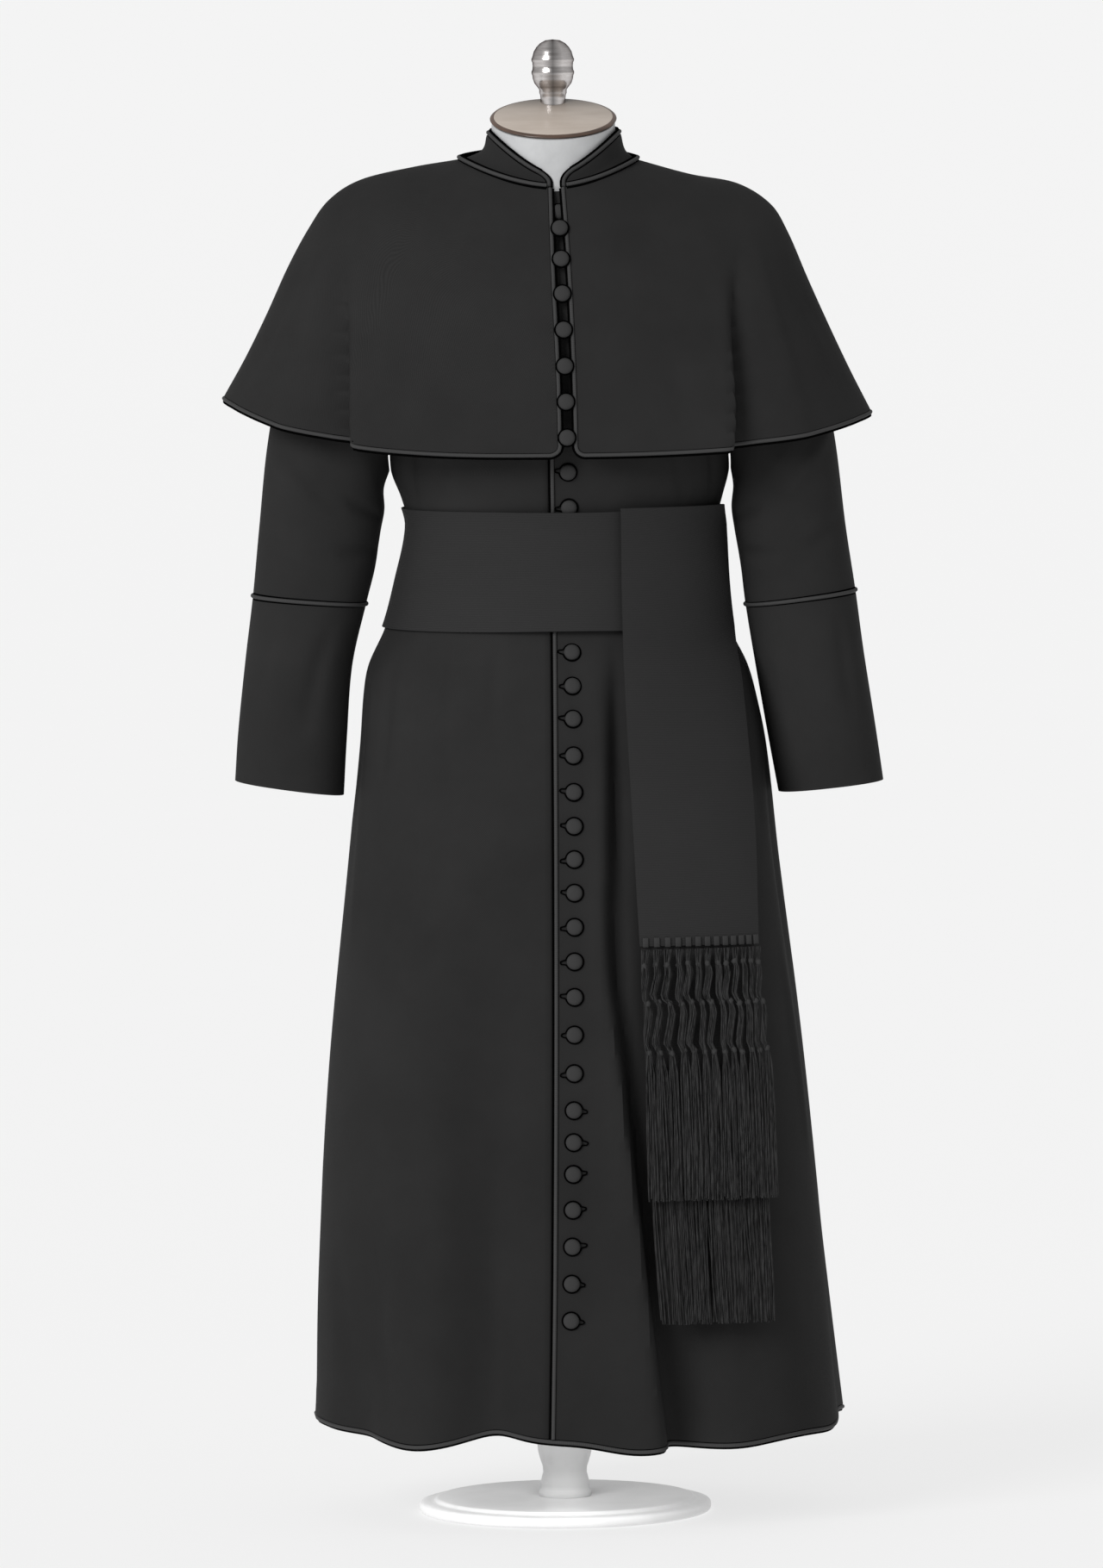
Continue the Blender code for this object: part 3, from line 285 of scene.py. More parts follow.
# painted reflection: dark bands round the finial stand for dark parts of a studio mirrored in the chrome
paintedReflectionRound(chromeMetal, (0.0, 0.052), [(0.0, 0.25), (0.06, 0.95), (0.17, 1.0), (0.25, 0.35), (0.33, 1.0), (0.45, 0.90),
                                       (0.50, 0.22), (0.57, 0.85), (0.70, 1.0), (0.77, 0.16), (0.84, 1.0), (0.94, 0.7),
                                       (1.0, 0.25)])
standPaint = smoothMaterial("paleStandPaint", (0.80, 0.80, 0.80), (0.90, 0.90, 0.90), 0.42, (14, 14, 9), 0.04,
                            coat=0.15)
floorPaint = smoothMaterial("paleFloor", scaled((1, 1, 1), studio["floorTone"] - 0.003),
                            scaled((1, 1, 1), studio["floorTone"] + 0.003), 0.95, (2, 2, 2), 0.0)
floorShader = floorPaint.node_tree.nodes["Principled BSDF"]
floorShader.inputs["Emission Color"].default_value = (1, 1, 1, 1)
floorShader.inputs["Emission Strength"].default_value = studio["floorGlow"]
print("materials ready")


# curves and sections, worked out for many points at once

def rowsAt(table, heights):
    # the table's columns at these heights, on a smooth curve through its rows
    rows = np.array(sorted(table), float)
    last = len(rows) - 1
    h = np.clip(np.asarray(heights, float), rows[0, 0], rows[last, 0])
    i = np.clip(np.searchsorted(rows[:, 0], h, side="right") - 1, 0, last - 1)
    low, high = rows[i], rows[i + 1]
    before, after = rows[np.maximum(i - 1, 0)], rows[np.minimum(i + 2, last)]
    span = high[..., :1] - low[..., :1]
    t = (h[..., None] - low[..., :1]) / span
    slopeLow = (high - before) / (high[..., :1] - before[..., :1]) * span
    slopeHigh = (after - low) / (after[..., :1] - low[..., :1]) * span
    value = (2 * t**3 - 3 * t**2 + 1) * low + (3 * t**2 - 2 * t**3) * high
    value = value + (t**3 - 2 * t**2 + t) * slopeLow + (t**3 - t**2) * slopeHigh
    return np.moveaxis(value, -1, 0)


def splineWeights(t, last):
    # index of the ring below t, and the weights of the four rings round it
    i = np.clip(t.astype(int), 0, last - 1)
    t = (t - i)[..., None]
    weights = (-t + 2 * t**2 - t**3, 2 - 5 * t**2 + 3 * t**3, t + 4 * t**2 - 3 * t**3, -(t**2) + t**3)
    return i, [weight / 2 for weight in weights]


def ringsAt(rings, t):
    # a smooth curve through rings at t = 0, 1, 2...; rings is (count, columns)
    rings = np.asarray(rings, float)
    full = np.concatenate([[2 * rings[0] - rings[1]], rings, [2 * rings[-1] - rings[-2]]])
    i, weights = splineWeights(np.asarray(t, float), len(rings) - 1)
    return np.moveaxis(sum(weight * full[i + k] for k, weight in enumerate(weights)), -1, 0)


def around(angle, left, right, front, back, power):
    s, c = np.sin(angle), np.cos(angle)
    x = np.sign(s) * np.abs(s) ** (2 / power) * np.where(s > 0, right, left)
    y = -np.sign(c) * np.abs(c) ** (2 / power) * np.where(c > 0, front, back)
    return x, y


def angleAt(x, left, right, power):
    half = np.where(np.asarray(x) > 0, right, left)
    return np.sign(x) * np.arcsin(np.minimum(np.abs(x) / half, 1) ** (power / 2))


def bump(angle, centre, spread):
    away = (angle - centre + 180) % 360 - 180
    return np.exp(-((away / spread) ** 2))


def stack(x, y, z):
    return np.stack(np.broadcast_arrays(x, y, z), axis=-1)


def unit(vectors):
    return vectors / np.maximum(np.linalg.norm(vectors, axis=-1, keepdims=True), 1e-12)


def normalOf(surface, u, v):
    step = 1e-3
    across = surface(u + step, v) - surface(u - step, v)
    up = surface(u, v + step) - surface(u, v - step)
    return unit(np.cross(across, up))


def movedOut(surface, u, v, distance):
    u, v = np.broadcast_arrays(np.asarray(u, float), np.asarray(v, float))
    return surface(u, v) + normalOf(surface, u, v) * np.asarray(distance)[..., None]


def creaseAt(creases, across, up):
    # soft troughs (minus) and ridges: each runs from one place to another and fades at both ends
    depth = 0
    for acrossFrom, upFrom, acrossTo, upTo, width, height in creases:
        run = np.array([acrossTo - acrossFrom, upTo - upFrom])
        t = np.clip(((across - acrossFrom) * run[0] + (up - upFrom) * run[1]) / (run @ run), 0, 1)
        away = np.hypot(across - acrossFrom - t * run[0], up - upFrom - t * run[1])
        depth = depth + height * np.exp(-((away / width) ** 2)) * np.sin(np.pi * np.clip(t, 0.02, 0.98)) ** 0.7
    return depth


# sheets and cords

def newPiece(name, bm, material, nodes=(), smoothAngle=50):
    mesh = bpy.data.meshes.new(name)
    bm.to_mesh(mesh)
    bm.free()
    mesh.shade_smooth()
    mesh.set_sharp_from_angle(angle=math.radians(smoothAngle))
    mesh.materials.append(material)
    piece = bpy.data.objects.new(name, mesh)
    scene.collection.objects.link(piece)
    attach(piece, "root")
    if nodes:
        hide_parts(*nodes)
    return piece


def clothGrid(columns, rows, place):
    # a grid whose points are set by place(across, up), both from 0 to 1; its UV is in metres
    bm = bmesh.new()
    uvLayer = bm.loops.layers.uv.new("UVMap")
    bmesh.ops.create_grid(bm, x_segments=columns, y_segments=rows, size=0.5)
    bm.verts.ensure_lookup_table()
    flat = np.array([vert.co for vert in bm.verts]) + 0.5
    order = np.lexsort((flat[:, 0].round(6), flat[:, 1].round(6)))
    across = flat[order, 0].reshape(rows + 1, columns + 1)
    up = flat[order, 1].reshape(rows + 1, columns + 1)
    points = place(across, up)
    uSteps = np.linalg.norm(np.diff(points, axis=1), axis=-1)
    vSteps = np.linalg.norm(np.diff(points, axis=0), axis=-1)
    uMetres = np.concatenate([np.zeros((rows + 1, 1)), np.cumsum(uSteps, axis=1)], axis=1)
    vMetres = np.concatenate([np.zeros((1, columns + 1)), np.cumsum(vSteps, axis=0)], axis=0)
    uv = {}
    for k, x, y, z, u, v in zip(order, *points.reshape(-1, 3).T, uMetres.ravel(), vMetres.ravel()):
        bm.verts[k].co = (x, y, z)
        uv[k] = (u, v)
    for face in bm.faces:
        for loop in face.loops:
            loop[uvLayer].uv = uv[loop.vert.index]
    return bm


def closeHoles(bm):
    bmesh.ops.holes_fill(bm, edges=[edge for edge in bm.edges if edge.is_boundary], sides=0)
    bmesh.ops.recalc_face_normals(bm, faces=bm.faces)


def faceOutward(bm, centre):
    # turns all faces if most of them look towards the centre line
    bm.normal_update()
    looks = sum(face.normal.dot(face.calc_center_median() - centre(face)) for face in bm.faces)
    if looks < 0:
        bmesh.ops.reverse_faces(bm, faces=bm.faces)
        bm.normal_update()


clothWalls = {"wool": (woolCloth, 0.0020), "sash": (sashCloth, 0.0018)}  # material, thickness


def clothPiece(name, columns, rows, place, slotName, node, closed=False, outward=None):
    material, thickness = clothWalls[slotName]
    bm = clothGrid(columns, rows, place)
    if closed:
        bmesh.ops.remove_doubles(bm, verts=bm.verts, dist=1e-5)
    bm.normal_update()
    if outward is not None:
        faceOutward(bm, outward)
    area = sum(face.calc_area() for face in bm.faces)
    bmesh.ops.solidify(bm, geom=bm.faces[:], thickness=thickness)
    piece = newPiece(name, bm, material, [node])
    print(f"{name}: {area:.4f} m2, {len(piece.data.polygons)} faces")
    return piece


def roundCord(name, points, ups, radius, closed=False, flatten=1.0, material=None, sides=10, nodes=()):
    # a cord through points; ups say where its crest looks; flatten is its height against its width
    points, ups = np.asarray(points), np.asarray(ups)
    if closed:
        points, ups = np.concatenate([points, points[:1]]), np.concatenate([ups, ups[:1]])
        ahead = np.concatenate([points[1:], points[1:2]])
        behind = np.concatenate([points[-2:-1], points[:-1]])
    else:
        ahead = np.concatenate([points[1:], points[-1:]])
        behind = np.concatenate([points[:1], points[:-1]])
    run = unit(ahead - behind)
    side = unit(np.cross(run, ups))
    crest = np.cross(side, run)

    def place(across, up):
        k = np.rint(up * (len(points) - 1)).astype(int)
        turn = (across - 0.5) * math.tau
        out = crest[k] * np.cos(turn)[..., None] * flatten + side[k] * np.sin(turn)[..., None]
        return points[k] + out * radius

    bm = clothGrid(sides, len(points) - 1, place)
    uvLayer = bm.loops.layers.uv.active
    bm.verts.ensure_lookup_table()
    girth = {}
    for vert in bm.verts:
        for loop in vert.link_loops:
            u, v = loop[uvLayer].uv
            girth[vert.index] = max(girth.get(vert.index, 0), u)
    whole = max(girth.values())
    for face in bm.faces:
        for loop in face.loops:
            u, v = loop[uvLayer].uv
            loop[uvLayer].uv = (v, u / whole)
    bmesh.ops.remove_doubles(bm, verts=bm.verts, dist=1e-6)
    if not closed:
        bmesh.ops.holes_fill(bm, edges=[edge for edge in bm.edges if edge.is_boundary], sides=0)
    bmesh.ops.recalc_face_normals(bm, faces=bm.faces)
    return newPiece(name, bm, material or pipingCord, nodes)


piping = {
    "radius": 0.0022,
    "seamWidth": 0.0023,  # how far the dark strip, a stitched seam drawn as painted shadow, shows past the cord
    "seamDepth": 0.55,  # share of the radius
    "seamFlatten": 0.22,
    "cloth": 0.0020,
    "layGap": 0.0004,
}


def pipedEdge(name, points, ups, nodes, closed=False):
    # the cord, and a near-black flat strip under it that shows on both sides: a stitched seam that also stands as
    # painted shadow where the cord meets the cloth
    radius = piping["radius"]
    roundCord(name, points, ups, radius, closed, nodes=nodes)
    sunk = np.asarray(points) - unit(np.asarray(ups)) * radius * piping["seamDepth"]
    roundCord(name + "_seam_shadow", sunk, ups, radius + piping["seamWidth"], closed, flatten=piping["seamFlatten"],
              material=seamAndShadowThread, sides=8)


# the cassock's body

cassock = {
    "sections": [  # height, left, right, front, back, drop, rise
        (0.103, 0.2745, 0.3120, 0.236, 0.262, 0, 0), (0.270, 0.2710, 0.2955, 0.224, 0.250, 0, 0),
        (0.495, 0.2575, 0.2710, 0.206, 0.230, 0, 0), (0.723, 0.2340, 0.2430, 0.184, 0.205, 0, 0),
        (0.852, 0.2205, 0.2295, 0.166, 0.184, 0, 0), (0.913, 0.2155, 0.2175, 0.154, 0.169, 0, 0),
        (0.943, 0.2095, 0.2085, 0.146, 0.157, 0, 0), (0.984, 0.1905, 0.1890, 0.130, 0.136, 0, 0),
        (1.035, 0.1765, 0.1825, 0.119, 0.118, 0, 0), (1.095, 0.1640, 0.1755, 0.114, 0.107, 0, 0),
        (1.126, 0.1710, 0.1830, 0.118, 0.109, 0, 0), (1.155, 0.1820, 0.1905, 0.124, 0.113, 0, 0),
        (1.210, 0.1910, 0.1950, 0.131, 0.121, 0, 0), (1.300, 0.1920, 0.1945, 0.133, 0.128, 0, 0),
        (1.380, 0.1950, 0.1965, 0.121, 0.126, 0, 0), (1.425, 0.1960, 0.1970, 0.106, 0.116, 0.006, 0.000),
        (1.450, 0.1880, 0.1880, 0.098, 0.104, 0.012, 0.002), (1.470, 0.1600, 0.1560, 0.093, 0.091, 0.018, 0.004),
        (1.484, 0.1300, 0.1180, 0.090, 0.081, 0.024, 0.006), (1.4965, 0.1010, 0.0880, 0.0875, 0.0745, 0.030, 0.008),
    ],
    "fullness": 2.2,
    "folds": [  # angle at the hem, at the top, height of the top, spread, depth
        (25.5, 15.5, 1.00, 7, -0.036), (16.5, 9, 0.96, 6, 0.017), (-17, -14, 0.66, 8, -0.020),
        (-33, -29, 0.84, 12, 0.013), (-55, -47, 0.52, 8, -0.012), (52, 50, 0.80, 13, 0.010),
        (88, 92, 0.60, 12, -0.009), (112, 118, 0.90, 11, 0.016), (138, 146, 1.00, 9, -0.026),
        (163, 166, 1.00, 9, 0.018), (181, 181, 1.04, 7, -0.034), (-161, -165, 1.00, 9, 0.017),
        (-137, -144, 0.96, 9, -0.023), (-110, -114, 0.84, 12, 0.014),
    ],
    "creases": [  # radians x 0.2 and height of both ends, width, height of the crease
        (-0.190, 0.345, -0.142, 0.112, 0.015, -0.0050), (-0.228, 0.300, -0.206, 0.125, 0.013, -0.0035),
        (-0.115, 0.975, -0.108, 0.800, 0.011, -0.0035), (-0.158, 0.978, -0.166, 0.835, 0.010, -0.0030),
        (-0.205, 0.972, -0.212, 0.760, 0.013, -0.0035), (-0.062, 0.979, -0.060, 0.870, 0.009, -0.0025),
        (-0.250, 0.960, -0.246, 0.620, 0.014, 0.0030), (0.012, 0.976, 0.014, 0.880, 0.008, -0.0020),
        (0.058, 0.970, 0.042, 0.560, 0.010, -0.0140), (0.040, 0.700, 0.080, 0.040, 0.010, -0.0200),
        (0.036, 0.930, 0.028, 0.600, 0.008, 0.0050), (0.029, 0.700, 0.066, 0.030, 0.008, 0.0090),
        (-0.096, 0.520, -0.092, 0.110, 0.018, 0.0040), (-0.052, 0.400, -0.050, 0.110, 0.012, -0.0040),
        (0.232, 0.930, 0.236, 0.760, 0.012, -0.0030), (0.252, 0.640, 0.262, 0.400, 0.009, 0.0030),
        (0.276, 0.860, 0.282, 0.560, 0.013, -0.0035), (0.330, 0.968, 0.336, 0.790, 0.011, -0.0035),
        (0.395, 0.980, 0.398, 0.850, 0.010, -0.0030), (0.455, 0.975, 0.462, 0.720, 0.013, -0.0040),
        (0.540, 0.978, 0.535, 0.840, 0.011, -0.0030), (-0.590, 0.975, -0.586, 0.760, 0.013, -0.0040),
        (-0.520, 0.980, -0.524, 0.860, 0.010, -0.0030), (-0.440, 0.976, -0.446, 0.735, 0.012, -0.0040),
        (-0.365, 0.978, -0.362, 0.850, 0.011, -0.0030), (-0.305, 0.970, -0.310, 0.790, 0.012, -0.0030),
        (-0.175, 1.122, -0.135, 1.175, 0.010, -0.0025), (-0.225, 1.125, -0.190, 1.200, 0.011, -0.0030),
        (0.170, 1.122, 0.140, 1.180, 0.010, -0.0025), (0.235, 1.124, 0.205, 1.205, 0.011, -0.0030),
        (0.450, 1.122, 0.400, 1.240, 0.012, -0.0035), (-0.470, 1.122, -0.415, 1.225, 0.012, -0.0035),
        (0.590, 1.122, 0.580, 1.210, 0.012, -0.0030), (0.300, 0.330, 0.318, 0.120, 0.014, -0.0045),
        (-0.330, 0.360, -0.346, 0.125, 0.015, -0.0045), (-0.560, 0.420, -0.572, 0.120, 0.016, -0.0040),
        (0.500, 0.400, 0.512, 0.125, 0.015, -0.0040),
    ],
    "hem": 0.103,
    "neckSeam": 1.4965,
    "neckRise": 0.008,
    "neckDip": 0.030,
    "armpit": 1.155,
    "shoulderTip": 1.446,
    "hemWaves": [  # angle, spread, rise
        (-75, 16, 0.0045), (-33, 11, -0.0075), (-15, 8, 0.0095), (12, 8, -0.0105), (33, 13, -0.0105), (70, 12, -0.0035),
        (88, 12, 0.0040), (112, 9, -0.0040), (139, 9, 0.0070), (163, 8, -0.0045), (181, 7, 0.0085), (-161, 8, -0.0045),
        (-137, 9, 0.0060), (-110, 10, -0.0040),
    ],
    "waveTop": 0.42,
    "frontEdge": [(0.09, -0.0105), (0.30, -0.0060), (0.61, -0.0022), (0.97, -0.0008), (1.20, -0.0022), (1.50, -0.0022)],
    "lap": 0.032,
    "lapStep": 0.0031,
    "lapBend": (0.0090, 0.0055),
    "seamGap": 0.0003,
    "cordLift": 0.0021,  # how far a cord that lies along a ring of cloth is above it
    "rows": [  # heights that the grid of each panel keeps
        0.108, 0.16, 0.22, 0.29, 0.36, 0.43, 0.50, 0.57, 0.64, 0.71, 0.77, 0.82, 0.87, 0.913, 0.943, 0.984, 1.010,
        1.035, 1.065, 1.095, 1.126, 1.155, 1.165, 1.18, 1.22, 1.29, 1.36, 1.41, 1.435, 1.446, 1.470, 1.484, 1.4965,
    ],
}


def plainBody(angle, height):
    angle, height = np.broadcast_arrays(np.asarray(angle, float), np.asarray(height, float))
    row = rowsAt(cassock["sections"], height)
    x, y = around(angle, row[1], row[2], row[3], row[4], cassock["fullness"])
    c = np.cos(angle)
    return stack(x, y, height + c * c * np.where(c < 0, row[6], -row[5]))


def body(angle, height):
    # the cassock's outer face with its folds and creases
    point = plainBody(angle, height)
    height = np.broadcast_to(height, point.shape[:-1])
    degrees = np.degrees(np.broadcast_to(angle, point.shape[:-1]))
    depth = 0
    for hemAngle, topAngle, top, spread, deep in cassock["folds"]:
        share = np.clip((top - height) / (top - cassock["hem"]), 0, None)
        depth = depth + deep * share**1.3 * bump(degrees, topAngle + (hemAngle - topAngle) * share, spread)
    turned = (degrees + 180) % 360 - 180
    crease = creaseAt(cassock["creases"], np.radians(turned) * 0.2, height)
    away = unit(point * (1, 1, 0))
    rise = sum(high * bump(degrees, centre, spread) for centre, spread, high in cassock["hemWaves"])
    low = np.clip((cassock["waveTop"] - height) / (cassock["waveTop"] - cassock["hem"]), 0, None)
    return point + away * (depth + crease)[..., None] + stack(0, 0, rise * low)


def lapAngle(height, away):
    row = rowsAt(cassock["sections"], height)
    x = rowsAt(cassock["frontEdge"], height)[1] + away
    return angleAt(x, row[1], row[2], cassock["fullness"])


def rightFront(angle, height):
    start, end = lapAngle(height, -cassock["lapBend"][0]), lapAngle(height, -cassock["lapBend"][1])
    share = np.clip((angle - start) / (end - start), 0, 1)
    return movedOut(body, angle, height, -cassock["lapStep"] * share)


def angleStep(surface, angle, height, distance):
    angle, height = np.broadcast_arrays(np.asarray(angle, float), np.asarray(height, float))
    step = 1e-3
    return distance * step / np.linalg.norm(surface(angle + step, height) - surface(angle, height), axis=-1)


def armholeAngle(height, towards):
    share = np.clip((height - cassock["armpit"]) / (cassock["shoulderTip"] - cassock["armpit"]), 0, 1)
    width = np.where(np.asarray(towards) < 0, 27, 24)
    return np.radians(90 + towards * width * np.maximum(np.sin(np.pi * share), 0) ** 0.6)


def sideSeam(height, towards):
    below = np.radians(90 - 10 * np.clip((cassock["armpit"] - height) / 0.2, 0, 1))
    return np.where(height < cassock["armpit"], below, armholeAngle(height, towards))


def bodyHeights(up):
    rows = cassock["rows"]
    return np.interp(up, np.linspace(0, 1, len(rows)), rows)


def leftFrontPlace(across, up):
    height = bodyHeights(up)
    seam = sideSeam(height, -1)
    room = angleStep(body, seam, height, cassock["seamGap"] / 2)
    start = lapAngle(height, 0)
    return body(start + (seam - room - start) * across, height)


def rightFrontPlace(across, up):
    height = bodyHeights(up)
    seam = sideSeam(height, -1)
    room = angleStep(body, seam, height, cassock["seamGap"] / 2)
    start, bend = room - seam, lapAngle(height, -cassock["lapBend"][0])
    step, end = lapAngle(height, -cassock["lapBend"][1]), lapAngle(height, cassock["lap"])
    angle = start + (bend - start) * np.clip(across / 0.9, 0, 1)
    angle = angle + (step - bend) * np.clip((across - 0.9) / 0.05, 0, 1)
    angle = angle + (end - step) * np.clip((across - 0.95) / 0.05, 0, 1)
    return rightFront(angle, height)


def backPlace(across, up):
    height = bodyHeights(up)
    seam = sideSeam(height, 1)
    room = angleStep(body, seam, height, cassock["seamGap"] / 2)
    return body(seam + room + (math.tau - 2 * (seam + room)) * across, height)


bodyRows = 7 * (len(cassock["rows"]) - 1)
leftFront = clothPiece("cassock_front_left", 60, bodyRows, leftFrontPlace, "wool", "front_left")
rightFrontPiece = clothPiece("cassock_front_right", 60, bodyRows, rightFrontPlace, "wool", "front_right")
backPiece = clothPiece("cassock_back", 104, bodyRows, backPlace, "wool", "back")

# the hem's and the front edge's piping
hemAngles = np.linspace(lapAngle(cassock["hem"], 0), lapAngle(cassock["hem"], 0) + math.tau, 301)[:-1]
hemPoints = movedOut(body, hemAngles, cassock["hem"], -piping["cloth"] / 2) + (0, 0, cassock["cordLift"])
hemUps = normalOf(body, hemAngles, np.full_like(hemAngles, cassock["hem"]))
pipedEdge("hem_cord", hemPoints, hemUps, ["hem_piping"], closed=True)


def edgePath(surface, u, v, lift=0.0, clear=piping["layGap"]):
    # centres of a cord along an edge with the cloth on its left, and where its crest looks
    points, normals = surface(u, v), normalOf(surface, u, v)
    ahead, behind = np.concatenate([points[1:], points[-1:]]), np.concatenate([points[:1], points[:-1]])
    outward = unit(np.cross(ahead - behind, normals))
    return points + outward * (piping["radius"] + clear) + normals * (lift - piping["cloth"] / 2), normals


edgeHeights = np.linspace(1.46, 0.108, 220)
frontPoints, frontUps = edgePath(body, lapAngle(edgeHeights, 0), edgeHeights,
                                 lift=piping["cloth"] / 2 + piping["layGap"])
pipedEdge("front_edge_cord", frontPoints, frontUps, ["front_edge_piping"])
print("cassock body sewn")


# sleeves and cuffs

sleeves = {
    "right": [  # inner x and z, outer x and z, depth, middle y
        (0.1905, 1.137, 0.2680, 1.375, 0.072, 0.000),
        (0.1900, 1.114, 0.2990, 1.285, 0.068, -0.002),
        (0.1945, 1.090, 0.3180, 1.190, 0.065, -0.005),
        (0.2010, 1.050, 0.3285, 1.095, 0.061, -0.008),
        (0.2110, 1.011, 0.3360, 1.021, 0.058, -0.011),
        (0.2270, 0.943, 0.3450, 0.950, 0.057, -0.015),
        (0.2335, 0.865, 0.3535, 0.873, 0.056, -0.020),
        (0.2375, 0.801, 0.3575, 0.818, 0.055, -0.024),
    ],
    "left": [
        (0.1950, 1.137, 0.2620, 1.370, 0.072, 0.000),
        (0.1930, 1.114, 0.2900, 1.280, 0.068, -0.002),
        (0.1960, 1.090, 0.3075, 1.190, 0.065, -0.005),
        (0.2025, 1.050, 0.3185, 1.095, 0.061, -0.008),
        (0.2075, 1.007, 0.3290, 1.022, 0.058, -0.011),
        (0.2175, 0.943, 0.3375, 0.955, 0.057, -0.015),
        (0.2315, 0.860, 0.3500, 0.871, 0.056, -0.020),
        (0.2420, 0.801, 0.3580, 0.813, 0.055, -0.024),
    ],
    "fullness": 2.3,
    "cuffRing": 5,
    "room": 0.0018,
    "cuffRoom": 0.055,
    "creases": {  # turn in radians and ring of both ends, width, height
        "right": [
            (0.35, 2.35, 1.25, 2.95, 0.16, -0.0040), (2.60, 3.05, 1.45, 3.35, 0.15, 0.0035),
            (0.20, 3.45, 1.30, 3.95, 0.17, -0.0045), (2.85, 4.05, 1.60, 4.25, 0.14, -0.0035),
            (1.10, 5.30, 1.45, 7.10, 0.17, -0.0040), (2.10, 5.40, 2.25, 6.60, 0.15, -0.0030),
            (1.55, 1.20, 1.75, 2.40, 0.16, -0.0035), (-0.40, 2.55, -1.35, 3.05, 0.16, -0.0040),
            (-2.70, 3.15, -1.55, 3.50, 0.15, 0.0035), (-0.30, 3.60, -1.40, 4.05, 0.17, -0.0045),
            (-1.15, 5.40, -1.30, 7.00, 0.17, -0.0040), (-1.80, 1.10, -1.70, 2.30, 0.16, -0.0035),
        ],
        "left": [
            (0.30, 2.50, 1.15, 3.05, 0.16, -0.0040), (2.70, 2.80, 1.50, 3.15, 0.15, 0.0035),
            (0.25, 3.60, 1.40, 4.10, 0.16, -0.0045), (2.75, 3.90, 1.65, 4.15, 0.15, -0.0035),
            (1.20, 5.45, 1.30, 7.20, 0.18, -0.0040), (2.20, 5.30, 2.15, 6.80, 0.15, -0.0030),
            (1.60, 1.30, 1.65, 2.50, 0.16, -0.0035), (-0.35, 2.40, -1.30, 2.85, 0.16, -0.0040),
            (-2.65, 3.30, -1.60, 3.60, 0.15, 0.0035), (-0.35, 3.75, -1.45, 4.20, 0.17, -0.0045),
            (-1.20, 5.30, -1.25, 6.90, 0.17, -0.0040), (-1.75, 1.25, -1.80, 2.45, 0.16, -0.0035),
        ],
    },
}


def sleeveSurface(side):
    rings = np.array(sleeves["left" if side > 0 else "right"])
    creases = sleeves["creases"]["left" if side > 0 else "right"]

    def ringPoint(turn, index):
        s, c = np.sin(turn), np.cos(turn)
        if index == 0:
            span = cassock["shoulderTip"] - cassock["armpit"] - 2 * sleeves["room"]
            height = cassock["armpit"] + sleeves["room"] + span * (1 - c) / 2
            angle = armholeAngle(height, np.where(s > 0, -1, 1)) * side
            return body(angle, height) + np.array((side * sleeves["room"], 0, 0))
        innerX, innerZ, outerX, outerZ, depth, middleY = rings[index - 1]
        inner, outer = np.array((side * innerX, middleY, innerZ)), np.array((side * outerX, middleY, outerZ))
        wide = (np.sign(c) * np.abs(c) ** (2 / sleeves["fullness"]) / 2)[..., None]
        deep = np.sign(s) * np.abs(s) ** (2 / sleeves["fullness"]) * depth
        return (inner + outer) / 2 + (inner - outer) * wide + stack(0 * deep, -deep, 0 * deep)

    def plain(u, v):
        turn = -u * side
        last = len(rings)
        points = [ringPoint(turn, k) for k in range(last + 1)]
        full = np.stack([2 * points[0] - points[1], *points, 2 * points[-1] - points[-2]])
        i, weights = splineWeights(v, last)
        grid = np.indices(u.shape)
        return sum(weight * full[(i + k, *grid)] for k, weight in enumerate(weights))

    def surface(u, v):
        u, v = np.broadcast_arrays(np.asarray(u, float), np.asarray(v, float))
        turned = (-u * side + np.pi) % math.tau - np.pi
        return plain(u, v) + normalOf(plain, u, v) * creaseAt(creases, turned, v)[..., None]

    return surface


def makeSleeve(side, name):
    surface = sleeveSurface(side)
    top, ring, last = 0.0, sleeves["cuffRing"], float(len(sleeves[name]))

    def strip(start, end):
        return lambda across, up: surface(-side * math.tau * across, end + (start - end) * up)

    def armLine(face):
        z = face.calc_center_median().z
        rows = np.array(sleeves[name])
        order = np.argsort(rows[:, 3])
        mid = (rows[:, 0] + rows[:, 2]) / 2
        return Vector((side * float(np.interp(z, rows[order, 3], mid[order])), -0.01, z))

    upper = clothPiece("sleeve_cloth_" + name, 64, 84, strip(top, ring - sleeves["cuffRoom"]), "wool",
                       "sleeve_" + name, closed=True, outward=armLine)
    cuff = clothPiece("cuff_cloth_" + name, 64, 40, strip(ring + sleeves["cuffRoom"], last), "wool",
                      "cuff_" + name, closed=True, outward=armLine)
    turns = np.linspace(0, math.tau, 97)[:-1]
    points = movedOut(surface, turns, float(ring), 0.0004)
    ups = normalOf(surface, turns, np.full_like(turns, ring))
    pipedEdge("cuff_cord_" + name, points, ups, ["cuff_piping_" + name], closed=True)
    return upper, cuff


leftSleeve, leftCuff = makeSleeve(1, "left")
rightSleeve, rightCuff = makeSleeve(-1, "right")
print("sleeves set in")


# the shoulder cape

